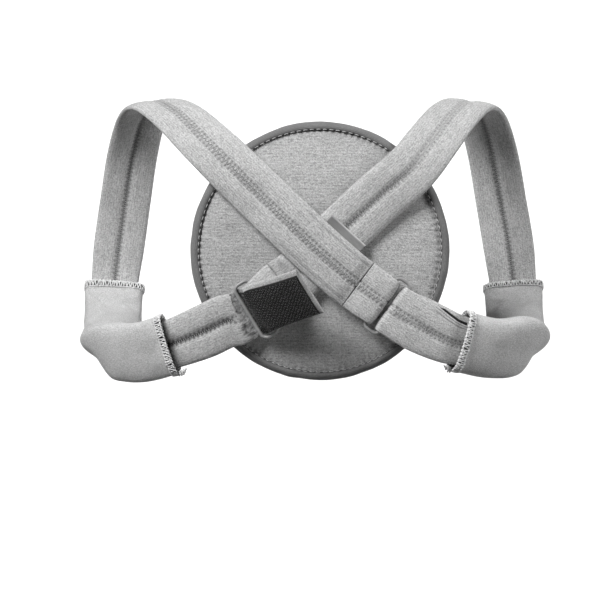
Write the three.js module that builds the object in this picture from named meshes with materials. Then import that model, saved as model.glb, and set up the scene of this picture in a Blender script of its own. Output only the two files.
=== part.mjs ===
// A figure-of-eight clavicle brace, in the shape that it holds when it is worn.
// Two padded straps cross on a round back pad. Each goes over one shoulder, down the front, under the
// arm through a soft sleeve, and back to a ring on the end of the other strap, where its hook patch
// fastens it. The right tail is fastened, and the left tail stands open with its hooks showing.
// Millimetres. +X is the wearer's right, +Y the way the wearer faces, +Z up.
// The origin is the middle of the back pad's inner face, where it lies on the wearer's back.
import * as THREE from "three";

// Gap that pieces keep where they lie on each other
const GAP = 0.3;

// Back pad: a round cushion whose edge is bound with a folded tape
const PAD_RADIUS = 97.5; // over the tape
const PAD_CROWN = 11; // thickness in the middle
const PAD_EDGE = 6.4; // thickness where the tape grips it
const PAD_BOW = 4; // how far the top and bottom of the rim bend towards the wearer
const TAPE_WIDTH = 6.4;
const TAPE_THICKNESS = 1.4;
const ROUND_SEGMENTS = 48;
const EDGE_STEPS = 4; // facets of the half-round edge
const PAD_SWELL_AT = [0, 0.35, 0.65, 0.82, 0.92, 0.97, 1]; // where the face is cut, as shares of its radius

// Straps: foam wrapped in brushed cloth and stitched along the middle, so that it has two lobes
const STRAP_WIDTH = 40;
const STRAP_THICKNESS = 7.4;
const STRAP_IN_SLEEVE = 37; // the sleeve squeezes the strap's edges in
const RING_CLEAR = 39; // width where it bends round a ring's bar, between the ring's corners
const SEAM_GROOVE = 0.42; // share of the thickness that the middle seam pulls in
const SEAM_GROOVE_REACH = 0.2; // half the groove's width, as a share of half the strap's
const STRAP_STEP = 11; // about how far apart the lofted sections lie

// Rings: moulded loops that join the end of one strap to the tail of the other
const RING_BAR = 2.6; // diameter of the moulding
const RING_PITCH = 13; // between the middles of the two long bars
const RING_LENGTH = 45; // between the middles of the two short bars
const RING_CORNER = 4.5; // corner radius at the middle of the bar
const RING_SIDES = 8;
const RING_CORNER_STEPS = 4;
const RING_DEPTH = -20; // both rings lie flat at this Y
// leanDeg is the way from the ring's inner bar to its outer bar, turned from +X towards +Z.
// bend is the thickness of the straps where they bend round its bars.
const RING_RIGHT = { x: 50.4, z: -41.5, leanDeg: -36, bend: 4.2 };
const RING_LEFT = { x: -47.8, z: -44.1, leanDeg: 211.4, bend: 3.2 };

// Sleeves: padded tubes round the straps under the arms
const SLEEVE_WALL = 2.5;
const SLEEVE_HOLLOW_WIDTH = 42;
const SLEEVE_HOLLOW_DEPTH = 12.5;
const SLEEVE_GAP = 1.4; // between the hollow and the strap's inner face
const SLEEVE_SIDES = 14;
const SLEEVE_SQUARENESS = 3.2; // exponent of the rounded section: 2 is an ellipse

// Hook patches on the strap tails, and the bare label at the crossing
const HOOK_THICKNESS = 1.2;
const HOOK_WIDTH = 36; // where the strap has its full width
const HOOK_GAP = 0.5; // between the patch and the strap that it is sewn to
const HOOK_ACROSS = [-1, -0.68, -0.25, 0.25, 0.68, 1]; // where the patch is cut, as shares of half its width
const LABEL_LENGTH = 34;
const LABEL_WIDTH = 13;
const LABEL_THICKNESS = 0.8;
const LABEL_PLACE = { x: 17.5, y: -19.6, z: 10.3, turnDeg: 42.3 };

// The way of a strap over the wearer's shoulder and down the front, from the rim of the pad.
// x is measured outwards from the spine, and shift is how far both sides lie to the wearer's right.
// nx, ny and nz give the way that the strap's outer face looks, with nx outwards from the spine.
const SHOULDER_WAY = [
  { x: 67, y: -13.9, z: 61.5, shift: 1.5, nx: 0, ny: -0.99, nz: 0.16 },
  { x: 86.5, y: -5, z: 83, shift: -1, nx: 0.02, ny: -0.87, nz: 0.48 },
  { x: 104.5, y: 14, z: 102.5, shift: -3.5, nx: 0.08, ny: -0.55, nz: 0.83 },
  { x: 121, y: 44, z: 113, shift: -5.5, nx: 0.17, ny: 0.02, nz: 0.98 },
  { x: 132.5, y: 77, z: 105, shift: -5.5, nx: 0.17, ny: 0.47, nz: 0.87 },
  { x: 142, y: 103, z: 78.5, shift: -5, nx: 0.14, ny: 0.84, nz: 0.53 },
  { x: 149, y: 116, z: 41.5, shift: -4.5, nx: 0.08, ny: 0.98, nz: 0.17 },
  { x: 155, y: 119, z: 3.5, shift: -4, nx: 0.03, ny: 1, nz: -0.05 },
];

// The stretch under the arm that the sleeve covers, from its front mouth to its back mouth.
// rise is how much the right side lies above this height, and the left side below it.
const SLEEVE_WAY = [
  { x: 158, y: 114, z: -25.5, shift: -4, rise: 0, nx: 0.02, ny: 0.93, nz: -0.37 },
  { x: 158.5, y: 97, z: -47.5, shift: -4, rise: 0.3, nx: 0.03, ny: 0.64, nz: -0.77 },
  { x: 157.5, y: 70, z: -60.5, shift: -3.5, rise: 0.8, nx: 0.08, ny: 0.15, nz: -0.98 },
  { x: 156.5, y: 43, z: -67, shift: -3.5, rise: 1.2, nx: 0.36, ny: -0.4, nz: -0.84 },
  { x: 152.5, y: 18, z: -71.5, shift: -3, rise: 1.6, nx: 0.38, ny: -0.82, nz: -0.44 },
  { x: 133, y: -1.5, z: -74.5, shift: -3.4, rise: 1.8, nx: 0.22, ny: -0.94, nz: -0.24 },
  { x: 108, y: -10.4, z: -68.7, shift: -4.5, rise: 1.8, nx: 0.12, ny: -0.99, nz: -0.06 },
];

// Depth of the sleeve's hollow, row for row. The right sleeve's back mouth also takes in the tail's end.
const SLEEVE_DEPTH_LEFT = [11.5, 12.5, 14, 20, 18.5, 14, 12.5];
const SLEEVE_DEPTH_RIGHT = [11.5, 12.5, 14, 20, 18.5, 16.5, 19.5];

// Where the straps cross, the left one lies on the right one, which lies on the pad.
const CROSSING_LEFT = [
  { x: 20, y: -23.4, z: -19.1 },
  { x: 0, y: -24, z: -1.5 },
  { x: -20, y: -22.6, z: 17.3 },
  { x: -43, y: -17.6, z: 39.5 },
];
const CROSSING_RIGHT = [
  { x: -19, y: -17.4, z: -20.5 },
  { x: 0, y: -15.1, z: -1.5 },
  { x: 20, y: -15.1, z: 17.5 },
  { x: 43.5, y: -14.6, z: 39.5 },
];

// The left tail from the sleeve to the ring, and its open end beyond the ring, which lifts off the back
const TAIL_LEFT = [
  { x: -88, y: -13.9, z: -61.3, nx: -0.03, ny: -1, nz: 0 },
  { x: -70, y: -15.4, z: -53, nx: 0, ny: -1, nz: 0, thickness: 6.4 },
];
const OPEN_END = [
  { x: -47.6, y: -24, z: -44.7, nx: -0.62, ny: -0.64, nz: -0.46 },
  { x: -44.6, y: -29.4, z: -43.1, nx: -0.57, ny: -0.69, nz: -0.44 },
  { x: -38, y: -35, z: -40.7, nx: -0.4, ny: -0.78, nz: -0.48 },
  { x: -22.5, y: -45, z: -35.5, nx: -0.3, ny: -0.77, nz: -0.55, width: 40.5 },
  { x: -7, y: -54.5, z: -30.4, nx: -0.3, ny: -0.77, nz: -0.56, width: 41 },
];

// The right tail from the sleeve to the ring, and its end folded back over it into the sleeve's mouth
const TAIL_RIGHT = [
  { x: 86, y: -13.9, z: -60.3, nx: 0.03, ny: -1, nz: 0 },
  { x: 70.6, y: -15.4, z: -52.9, nx: 0, ny: -1, nz: 0, thickness: 6.4 },
];
const FOLDED_END = [
  { x: 74.5, y: -23.7, z: -56.7, nx: 0, ny: 1, nz: 0, thickness: 6.2 },
  { x: 94.5, y: -22.6, z: -67.6, nx: -0.04, ny: 1, nz: 0, thickness: 6, width: 34 },
  { x: 109, y: -20, z: -71.6, nx: -0.1, ny: 1, nz: 0.06, thickness: 4.6, width: 29 },
];

const material = (color, roughness, metalness = 0) =>
  new THREE.MeshStandardMaterial({ color, roughness, metalness });
const BRUSHED_CLOTH = material(0xb9b9b9, 0.95);
const SLEEVE_KNIT = material(0xc4c4c4, 0.9);
const EDGE_TAPE = material(0x6f6f6f, 0.85);
const RING_PLASTIC = material(0x77787a, 0.4);
const HOOK_PILE = material(0x242424, 0.8);
const LABEL_TAPE = material(0x838383, 0.8);

const brace = new THREE.Group();
brace.name = "clavicle_brace";

function addPiece(name, geometry, finish) {
  const mesh = new THREE.Mesh(geometry, finish);
  mesh.name = name;
  brace.add(mesh);
}

// A row of a strap with the columns that its table leaves out. depth is that of the sleeve's hollow.
const strapRow = (row) => ({
  width: STRAP_WIDTH,
  thickness: STRAP_THICKNESS,
  groove: SEAM_GROOVE,
  depth: SLEEVE_HOLLOW_DEPTH,
  ...row,
});

// A row of a shoulder table as a strap row. side is 1 on the wearer's right and -1 on the left.
const onSide = ({ x, z, shift, rise = 0, nx, ...rest }, side) =>
  strapRow({ ...rest, x: side * x + shift, z: z + side * rise, nx: side * nx });

// Puts a smooth curve through every column of a table: a cubic with a shared, chord-length knot for
// each row. It returns rows about step apart, and at tells between which of the table's rows each lies.
function smoothRows(rows, step) {
  const columns = Object.keys(rows[0]);
  const chord = (a, b) => Math.hypot(a.x - b.x, a.y - b.y, a.z - b.z);
  const knots = [0];
  for (let i = 1; i < rows.length; i++) knots.push(knots[i - 1] + chord(rows[i - 1], rows[i]));
  const slope = (column, i) => {
    const before = Math.max(0, i - 1);
    const after = Math.min(rows.length - 1, i + 1);
    return (rows[after][column] - rows[before][column]) / (knots[after] - knots[before]);
  };
  const smooth = [];
  for (let i = 0; i + 1 < rows.length; i++) {
    const span = knots[i + 1] - knots[i];
    const steps = Math.max(1, Math.round(span / step));
    for (let k = 0; k < steps; k++) {
      const t = k / steps;
      const ease = t * t * (3 - 2 * t);
      const leave = t * (1 - t) * (1 - t) * span;
      const arrive = t * t * (t - 1) * span;
      const row = { at: i + t };
      for (const c of columns) {
        row[c] = rows[i][c] * (1 - ease) + rows[i + 1][c] * ease;
        row[c] += slope(c, i) * leave + slope(c, i + 1) * arrive;
      }
      smooth.push(row);
    }
  }
  smooth.push({ ...rows[rows.length - 1], at: rows.length - 1 });
  return smooth;
}

// Gives each row its place and its own three directions: ahead, across and out.
function frames(rows) {
  const points = rows.map((r) => new THREE.Vector3(r.x, r.y, r.z));
  const last = points.length - 1;
  return rows.map((r, i) => {
    const ahead = points[Math.min(last, i + 1)].clone().sub(points[Math.max(0, i - 1)]).normalize();
    const lean = new THREE.Vector3(r.nx, r.ny, r.nz);
    const across = new THREE.Vector3().crossVectors(ahead, lean).normalize();
    const out = new THREE.Vector3().crossVectors(across, ahead);
    return { ...r, point: points[i], across, out };
  });
}

// The points of a flat section, given as [across, out] pairs, at one frame of a way
const placeSection = (frame, section) =>
  section.map(([a, o]) =>
    frame.point.clone().addScaledVector(frame.across, a).addScaledVector(frame.out, o));

// Joins rings of points into one skin. A closed skin runs round into its own start.
function skin(rings, closed = false) {
  const sides = rings[0].length;
  const faces = [];
  const bands = closed ? rings.length : rings.length - 1;
  for (let i = 0; i < bands; i++) {
    const here = i * sides;
    const next = ((i + 1) % rings.length) * sides;
    for (let k = 0; k < sides; k++) {
      const l = (k + 1) % sides;
      faces.push(here + k, next + k, next + l, here + k, next + l, here + l);
    }
  }
  return { points: rings.flat(), faces, sides, lastRing: (rings.length - 1) * sides };
}

function toGeometry(points, faces) {
  const geometry = new THREE.BufferGeometry().setFromPoints(points);
  geometry.setIndex(faces);
  geometry.computeVertexNormals();
  return geometry;
}

// A solid bar: a skin with both ends filled in, where section is the outline of its ends
function solidLoft(rings, section) {
  const { points, faces, lastRing } = skin(rings);
  const outline = section.map(([a, o]) => new THREE.Vector2(a, o));
  for (const [a, b, c] of THREE.ShapeUtils.triangulateShape(outline, [])) {
    faces.push(a, b, c, lastRing + a, lastRing + c, lastRing + b);
  }
  return toGeometry(points, faces);
}

// A tube: an outer and an inner skin joined by a rim at each mouth
function tubeLoft(outerRings, innerRings) {
  const outer = skin(outerRings);
  const inner = skin(innerRings);
  const base = outer.points.length;
  const faces = [...outer.faces];
  for (let i = 0; i < inner.faces.length; i += 3) {
    faces.push(base + inner.faces[i], base + inner.faces[i + 2], base + inner.faces[i + 1]);
  }
  for (let k = 0; k < outer.sides; k++) {
    const l = (k + 1) % outer.sides;
    const m = outer.lastRing + k;
    const n = outer.lastRing + l;
    faces.push(k, base + l, base + k, k, l, base + l);
    faces.push(m, base + m, base + n, m, base + n, n);
  }
  return toGeometry([...outer.points, ...inner.points], faces);
}

// A strap's section: flat over each lobe, round at the edges, drawn in at the middle seam
const STRAP_ACROSS = [-1, -0.9, -0.6, -0.22, 0, 0.22, 0.6, 0.9];
function strapSection({ width, thickness, groove }) {
  const rise = (u) => Math.sqrt(1 - u ** 4) * (1 - groove * Math.exp(-((u / SEAM_GROOVE_REACH) ** 2)));
  const face = (sign) =>
    STRAP_ACROSS.map((u) => [(sign * u * width) / 2, (-sign * rise(u) * thickness) / 2]);
  return [...face(1), ...face(-1)];
}

// A sleeve's section, a rounded oblong that lies close on the strap's inner face
function sleeveSection({ depth, thickness }, wall) {
  const halfWidth = SLEEVE_HOLLOW_WIDTH / 2 + wall;
  const halfDepth = depth / 2 + wall;
  const middle = depth / 2 - thickness / 2 - SLEEVE_GAP;
  const rounded = (v) => Math.sign(v) * Math.abs(v) ** (2 / SLEEVE_SQUARENESS);
  return Array.from({ length: SLEEVE_SIDES }, (_, k) => {
    const angle = (2 * Math.PI * k) / SLEEVE_SIDES;
    return [halfWidth * rounded(Math.cos(angle)), middle + halfDepth * rounded(Math.sin(angle))];
  });
}

// A hook patch's section, a thin oblong just off the strap's outer face
function hookSection({ width, thickness }) {
  const low = thickness / 2 + HOOK_GAP;
  const high = low + HOOK_THICKNESS;
  const across = HOOK_ACROSS.map((u) => (u * HOOK_WIDTH * width) / STRAP_WIDTH / 2);
  return [...across.map((a) => [a, low]), ...across.reverse().map((a) => [a, high])];
}

// A ring's middle, the way from its inner bar to its outer bar, and these two bars.
// The inner bar holds the sewn end of one strap, and the tail of the other goes round the outer bar.
function ringFrame({ x, z, leanDeg, bend }) {
  const lean = THREE.MathUtils.degToRad(leanDeg);
  const away = new THREE.Vector3(Math.cos(lean), 0, Math.sin(lean));
  const home = away.clone().negate();
  const along = new THREE.Vector3(-away.z, 0, away.x);
  const middle = new THREE.Vector3(x, RING_DEPTH, z);
  const innerBar = middle.clone().addScaledVector(home, RING_PITCH / 2);
  const outerBar = middle.clone().addScaledVector(away, RING_PITCH / 2);
  return { middle, away, home, along, innerBar, outerBar, bend };
}

// A ring: its round bar, lofted round an oblong with rounded corners
function ringGeometry({ middle, away, along }) {
  const outwards = new THREE.Vector3(0, -1, 0);
  const rings = [];
  for (let corner = 0; corner < 4; corner++) {
    const signAway = corner === 0 || corner === 3 ? 1 : -1;
    const signAlong = corner < 2 ? 1 : -1;
    const pivot = middle.clone()
      .addScaledVector(away, signAway * (RING_PITCH / 2 - RING_CORNER))
      .addScaledVector(along, signAlong * (RING_LENGTH / 2 - RING_CORNER));
    for (let k = 0; k <= RING_CORNER_STEPS; k++) {
      const angle = (Math.PI / 2) * (corner + k / RING_CORNER_STEPS);
      const radial = away.clone().multiplyScalar(Math.cos(angle)).addScaledVector(along, Math.sin(angle));
      rings.push(Array.from({ length: RING_SIDES }, (_, s) => {
        const turn = (2 * Math.PI * s) / RING_SIDES;
        return pivot.clone()
          .addScaledVector(radial, RING_CORNER + (RING_BAR / 2) * Math.cos(turn))
          .addScaledVector(outwards, (RING_BAR / 2) * Math.sin(turn));
      }));
    }
  }
  const { points, faces } = skin(rings, true);
  return toGeometry(points, faces);
}

// Rows of a strap that bends round a bar. Angles run from 0, on the wearer's side of the bar, through
// 90 degrees, on the side that toward points to, to 180, outside. face is 1 where the strap's own outer
// face looks away from the bar, and -1 where it looks at the bar.
function bendRound(bar, toward, toDeg, steps, face, thickness) {
  const radius = RING_BAR / 2 + GAP + thickness / 2;
  return Array.from({ length: steps + 1 }, (_, k) => {
    const angle = THREE.MathUtils.degToRad((toDeg * k) / steps);
    const radial = toward.clone().multiplyScalar(Math.sin(angle));
    radial.y = Math.cos(angle);
    const p = bar.clone().addScaledVector(radial, radius);
    const n = radial.multiplyScalar(face);
    const place = { x: p.x, y: p.y, z: p.z, nx: n.x, ny: n.y, nz: n.z };
    return strapRow({ ...place, width: RING_CLEAR, thickness, groove: 0.1 });
  });
}

// A row at a distance from a bar, with its outer face outwards unless the rest says otherwise
function rowFrom(bar, direction, distance, rest) {
  const p = bar.clone().addScaledVector(direction, distance);
  return strapRow({ x: p.x, z: p.z, nx: 0, ny: -1, nz: 0, ...rest });
}

// The sewn end of a strap: the end hidden behind, the bend round the ring's inner bar, and the puffed
// loop up to the crease where it is sewn down. The strap leaves the ring square to its bar, turned by
// turnDeg, and slide is how far it lies from the bar's middle.
function sewnEnd({ innerBar, away, home, along, bend }, turnDeg, slide) {
  const course = home.clone().applyAxisAngle(new THREE.Vector3(0, -1, 0), THREE.MathUtils.degToRad(turnDeg));
  const bar = innerBar.clone().addScaledVector(along, slide);
  return [
    rowFrom(bar, course, 19, { y: -18.4, ny: 1, thickness: 2, groove: 0.1 }),
    rowFrom(bar, course, 10, { y: -17.2, ny: 1, thickness: bend, groove: 0.1 }),
    ...bendRound(bar, away, 180, 6, 1, bend),
    rowFrom(bar, course, 10, { y: -23.4, thickness: 4.4, groove: 0.25 }),
    rowFrom(bar, course, 20.5, { y: -22, thickness: 2.6, groove: 0.1 }),
  ];
}

// A tail that comes up to a ring from the sleeve and bends round the outer bar, slid along it
function ringTail(rows, { outerBar, away, home, along, bend }, toDeg, steps, slide) {
  const bar = outerBar.clone().addScaledVector(along, slide);
  return [
    ...rows.map(strapRow),
    rowFrom(bar, away, 9, { y: -16.2, thickness: 4.2, groove: 0.2, width: RING_CLEAR }),
    ...bendRound(bar, home, toDeg, steps, -1, bend),
  ];
}

const flatRow = (row) => strapRow({ ...row, nx: 0, ny: -1, nz: 0 });
const shoulder = (side) => SHOULDER_WAY.map((row) => onSide(row, side));
const underArm = (side, mouthDepth) =>
  SLEEVE_WAY.map((row, i) => onSide({ ...row, width: STRAP_IN_SLEEVE, depth: mouthDepth[i] }, side));

// Joins the stretches of a strap into frames, and tells which of them lie in the sleeve and in the end.
function strapFrames({ sewn, crossing, over, under, tail, end }) {
  const rows = [...sewn, ...crossing, ...over, ...under, ...tail, ...end];
  const all = frames(smoothRows(rows, STRAP_STEP));
  const between = (from, to) => all.filter((f) => f.at >= from && f.at <= to);
  const sleeveStart = sewn.length + crossing.length + over.length;
  const endStart = rows.length - end.length;
  return {
    all,
    inSleeve: between(sleeveStart, sleeveStart + under.length - 1),
    inEnd: between(endStart, rows.length - 1),
  };
}

const ringRight = ringFrame(RING_RIGHT);
const ringLeft = ringFrame(RING_LEFT);

const strapLeft = strapFrames({
  sewn: sewnEnd(ringRight, 0, 0),
  crossing: CROSSING_LEFT.map(flatRow),
  over: shoulder(-1),
  under: underArm(-1, SLEEVE_DEPTH_LEFT),
  tail: ringTail(TAIL_LEFT, ringLeft, 78, 3, -0.8),
  end: OPEN_END.map((row) => strapRow({ groove: 0, thickness: 5, ...row })),
});
const strapRight = strapFrames({
  sewn: sewnEnd(ringLeft, 11, -0.8),
  crossing: CROSSING_RIGHT.map(flatRow),
  over: shoulder(1),
  under: underArm(1, SLEEVE_DEPTH_RIGHT),
  tail: ringTail(TAIL_RIGHT, ringRight, 180, 6, 0),
  end: FOLDED_END.map(strapRow),
});

const placed = (fs, sectionOf) => fs.map((f) => placeSection(f, sectionOf(f)));
const bar = (fs, sectionOf) => solidLoft(placed(fs, sectionOf), sectionOf(fs[0]));
// A sleeve lies on the same frames as its strap, so that the two bend alike.
const sleeve = (fs) =>
  tubeLoft(placed(fs, (f) => sleeveSection(f, SLEEVE_WALL)), placed(fs, (f) => sleeveSection(f, 0)));

addPiece("strap_left", bar(strapLeft.all, strapSection), BRUSHED_CLOTH);
addPiece("strap_right", bar(strapRight.all, strapSection), BRUSHED_CLOTH);
addPiece("sleeve_left", sleeve(strapLeft.inSleeve), SLEEVE_KNIT);
addPiece("sleeve_right", sleeve(strapRight.inSleeve), SLEEVE_KNIT);
addPiece("ring_left", ringGeometry(ringLeft), RING_PLASTIC);
addPiece("ring_right", ringGeometry(ringRight), RING_PLASTIC);
addPiece("hook_patch_left", bar(strapLeft.inEnd, hookSection), HOOK_PILE);
addPiece("hook_patch_right", bar(strapRight.inEnd, hookSection), HOOK_PILE);

// Bends the pad's rim towards the wearer at its top and bottom.
function bow(geometry) {
  const place = geometry.getAttribute("position");
  for (let i = 0; i < place.count; i++) {
    place.setY(i, place.getY(i) + PAD_BOW * (place.getZ(i) / PAD_RADIUS) ** 2);
  }
  geometry.computeVertexNormals();
  return geometry;
}

// The pad's edge is half round and lies inside the folded tape. Its outer face swells inside the tape.
const tapeStart = PAD_RADIUS - TAPE_WIDTH;
const padEdgeIn = -(GAP + TAPE_THICKNESS); // Y of the edge's inner side
const padEdgeOut = padEdgeIn - PAD_EDGE; // Y of its outer side
const padEdgeMiddle = (padEdgeIn + padEdgeOut) / 2;
const padEdgeCentre = PAD_RADIUS - TAPE_THICKNESS - GAP - PAD_EDGE / 2; // radius to the half round's middle
const tapeInside = PAD_EDGE / 2 + GAP;
const tapeOutside = tapeInside + TAPE_THICKNESS;

// A half round about the pad's edge, from its outer side to its inner side
function halfRound(radius) {
  return Array.from({ length: EDGE_STEPS + 1 }, (_, k) => {
    const angle = Math.PI * (k / EDGE_STEPS - 0.5);
    const y = padEdgeMiddle + radius * Math.sin(angle);
    return new THREE.Vector2(padEdgeCentre + radius * Math.cos(angle), y);
  });
}

const swell = (share) => {
  const y = padEdgeOut - (PAD_CROWN + padEdgeOut) * Math.sqrt(1 - share ** 6);
  return new THREE.Vector2(share * tapeStart, y);
};
const padProfile = [
  ...PAD_SWELL_AT.map(swell),
  ...halfRound(PAD_EDGE / 2),
  new THREE.Vector2(tapeStart, padEdgeIn),
  new THREE.Vector2(tapeStart - 3, 0),
  new THREE.Vector2(0, 0),
];
const tapeProfile = [
  new THREE.Vector2(tapeStart, padEdgeMiddle - tapeOutside),
  ...halfRound(tapeOutside),
  new THREE.Vector2(tapeStart, padEdgeMiddle + tapeOutside),
  new THREE.Vector2(tapeStart, padEdgeMiddle + tapeInside),
  ...halfRound(tapeInside).reverse(),
  new THREE.Vector2(tapeStart, padEdgeMiddle - tapeInside),
  new THREE.Vector2(tapeStart, padEdgeMiddle - tapeOutside),
];
addPiece("back_pad", bow(new THREE.LatheGeometry(padProfile, ROUND_SEGMENTS)), BRUSHED_CLOTH);
addPiece("pad_binding", bow(new THREE.LatheGeometry(tapeProfile, ROUND_SEGMENTS)), EDGE_TAPE);

// The label lies on the right strap, caught under the upper edge of the left one, and follows that edge.
const label = new THREE.BoxGeometry(LABEL_LENGTH, LABEL_THICKNESS, LABEL_WIDTH);
label.rotateY(THREE.MathUtils.degToRad(LABEL_PLACE.turnDeg));
label.translate(LABEL_PLACE.x, LABEL_PLACE.y, LABEL_PLACE.z);
addPiece("label_tab", label, LABEL_TAPE);

export default brace;
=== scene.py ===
"""Looks for a clavicle brace: a round back pad, two crossed padded straps, sleeves, rings and hook tape.

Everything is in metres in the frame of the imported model: +X is the right of the brace as it is worn, +Y
goes from its outer face to its inner face and +Z is up. The route tables are in millimetres, as in the
part's source.
"""
import math
from itertools import product

import bpy
import numpy as np
from bpy.props import FloatProperty, FloatVectorProperty, PointerProperty
from mathutils import Matrix, Vector


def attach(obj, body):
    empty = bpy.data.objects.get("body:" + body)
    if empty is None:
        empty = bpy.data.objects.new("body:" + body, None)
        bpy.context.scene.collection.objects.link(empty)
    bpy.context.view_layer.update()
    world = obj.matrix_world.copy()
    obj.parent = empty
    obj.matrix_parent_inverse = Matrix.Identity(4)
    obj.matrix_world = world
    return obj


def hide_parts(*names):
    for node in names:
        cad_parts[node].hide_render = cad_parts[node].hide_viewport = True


bl_info = {
    "name": "Clavicle brace",
    "version": (1, 0, 0),
    "blender": (4, 5, 0),
    "location": "View3D > Sidebar > Brace",
    "description": "Builds the pieces of a padded clavicle brace over its packed model",
    "category": "Add Mesh",
}

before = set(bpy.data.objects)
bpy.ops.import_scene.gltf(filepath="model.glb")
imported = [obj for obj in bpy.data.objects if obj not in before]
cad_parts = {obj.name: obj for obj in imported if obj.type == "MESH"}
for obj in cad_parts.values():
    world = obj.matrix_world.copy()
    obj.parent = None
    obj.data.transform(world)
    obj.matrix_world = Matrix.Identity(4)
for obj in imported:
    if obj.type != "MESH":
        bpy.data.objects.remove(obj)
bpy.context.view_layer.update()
MM = 0.001
BODY = "root"
THREAD_TREE = "thread_on_paths"

# Courses of the straps, in millimetres. x is measured outwards from the middle, shift is how far both
# sides lie to the right, and the last three columns give the way the outer face looks.
SHOULDER_COLUMNS = ("x", "y", "z", "shift", "nx", "ny", "nz")
SHOULDER_WAY = (
    (67, -13.9, 61.5, 1.5, 0, -0.99, 0.16),
    (86.5, -5, 83, -1, 0.02, -0.87, 0.48),
    (104.5, 14, 102.5, -3.5, 0.08, -0.55, 0.83),
    (121, 44, 113, -5.5, 0.17, 0.02, 0.98),
    (132.5, 77, 105, -5.5, 0.17, 0.47, 0.87),
    (142, 103, 78.5, -5, 0.14, 0.84, 0.53),
    (149, 116, 41.5, -4.5, 0.08, 0.98, 0.17),
    (155, 119, 3.5, -4, 0.03, 1, -0.05),
)
# rise is how much the right side lies above this height, and the left side below it.
SLEEVE_COLUMNS = ("x", "y", "z", "shift", "rise", "nx", "ny", "nz")
SLEEVE_WAY = (
    (158, 114, -25.5, -4, 0, 0.02, 0.93, -0.37),
    (158.5, 97, -47.5, -4, 0.3, 0.03, 0.64, -0.77),
    (157.5, 70, -60.5, -3.5, 0.8, 0.08, 0.15, -0.98),
    (156.5, 43, -67, -3.5, 1.2, 0.36, -0.4, -0.84),
    (152.5, 18, -71.5, -3, 1.6, 0.38, -0.82, -0.44),
    (133, -1.5, -74.5, -3.4, 1.8, 0.22, -0.94, -0.24),
    (108, -10.4, -68.7, -4.5, 1.8, 0.12, -0.99, -0.06),
)
# The depth of the hollow in a sleeve at each of these rows, and the gap left round the strap in it
HOLLOW_LEFT = (11.5, 12.5, 14, 20, 18.5, 14, 12.5)
HOLLOW_RIGHT = (11.5, 12.5, 14, 20, 18.5, 16.5, 19.5)
HOLLOW_GAP = 1.4

# The flat stretches over the pad. groove is the share of the thickness that the middle seam pulls in.
CROSSING_COLUMNS = ("x", "y", "z", "groove")
CROSSING_LEFT = (
    (20, -23.4, -19.1, 0.12),
    (0, -24, -1.5, 0.12),
    (-20, -22.6, 17.3, 0.14),
    (-43, -17.6, 39.5, 0.2),
)
CROSSING_RIGHT = (
    (-19, -17.4, -20.5, 0.3),
    (0, -15.1, -1.5, 0.3),
    (20, -15.1, 17.5, 0.42),
    (43.5, -14.6, 39.5, 0.42),
)
TAIL_COLUMNS = ("x", "y", "z", "nx", "ny", "nz", "thickness", "width")
TAIL_LEFT = (
    (-88, -13.9, -61.3, -0.03, -1, 0, 7.4, 40),
    (-70, -15.4, -53, 0, -1, 0, 6.4, 40),
)
TAIL_RIGHT = (
    (86, -13.9, -60.3, 0.03, -1, 0, 7.4, 40),
    (70.6, -15.4, -52.9, 0, -1, 0, 6.4, 40),
)
OPEN_END = (
    (-47.6, -24, -44.7, -0.62, -0.64, -0.46, 5, 40),
    (-44.6, -29.4, -43.1, -0.57, -0.69, -0.44, 5, 40),
    (-38, -35, -40.7, -0.4, -0.78, -0.48, 5, 40),
    (-22.5, -45, -35.5, -0.3, -0.77, -0.55, 5, 40.5),
    (-7, -54.5, -30.4, -0.3, -0.77, -0.56, 5, 41),
)
FOLDED_END = (
    (74.5, -23.7, -56.7, 0, 1, 0, 6.2, 40),
    (94.5, -22.6, -67.6, -0.04, 1, 0, 6, 34),
    (109, -20, -71.6, -0.1, 1, 0.06, 4.6, 29),
)
# Rings: the middle, the way from the inner bar to the outer bar, turned from +X towards +Z, and the
# thickness of the straps where they bend round the bars
RING_RIGHT = {"x": 50.4, "z": -41.5, "lean": -36, "bend": 4.2}
RING_LEFT = {"x": -47.8, "z": -44.1, "lean": 211.4, "bend": 3.2}
# The depth of the rings, the distance from a bar's middle to the cloth round it, and the width of the
# straps there and in the sleeves
RING_DEPTH = -20
BEND_CLEAR = 1.6
BEND_WIDTH = 39
STRAP_IN_SLEEVE = 37

# The two sides, -1 for the left and 1 for the right. over_groove and end_groove are the shares that the
# middle seam pulls in along the shoulder stretch and the loose end. turn is how far the sewn end leaves
# its ring out of square. The slides are how far the sewn end and the tail lie off the middle of their
# bars, and bend is how far the tail goes round its bar, in so many steps.
RINGS = {-1: RING_LEFT, 1: RING_RIGHT}
SIDES = {
    -1: {"crossing": CROSSING_LEFT, "hollow": HOLLOW_LEFT, "tail": TAIL_LEFT, "end": OPEN_END,
         "over_groove": (0.12, 0.1, 0.12, 0.2), "end_groove": 0, "turn": 0, "sewn_slide": 0,
         "tail_slide": -0.8, "bend": 78, "bend_steps": 3},
    1: {"crossing": CROSSING_RIGHT, "hollow": HOLLOW_RIGHT, "tail": TAIL_RIGHT, "end": FOLDED_END,
        "over_groove": (0.3, 0.24, 0.22, 0.26), "end_groove": 0.28, "turn": 11, "sewn_slide": -0.8,
        "tail_slide": 0, "bend": 180, "bend_steps": 6},
}
# Straight seams along the left strap's edges: their distance from its middle, the pitch of the stitches,
# and how far the seams run before and beyond the crossing
EDGE_SEAM = {"offset": 15.8, "pitch": 2.6, "before": 36, "beyond": 25}
LABEL_PLACE = {"x": 17.5, "y": -19.6, "z": 10.3, "turn": 42.3}

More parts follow.
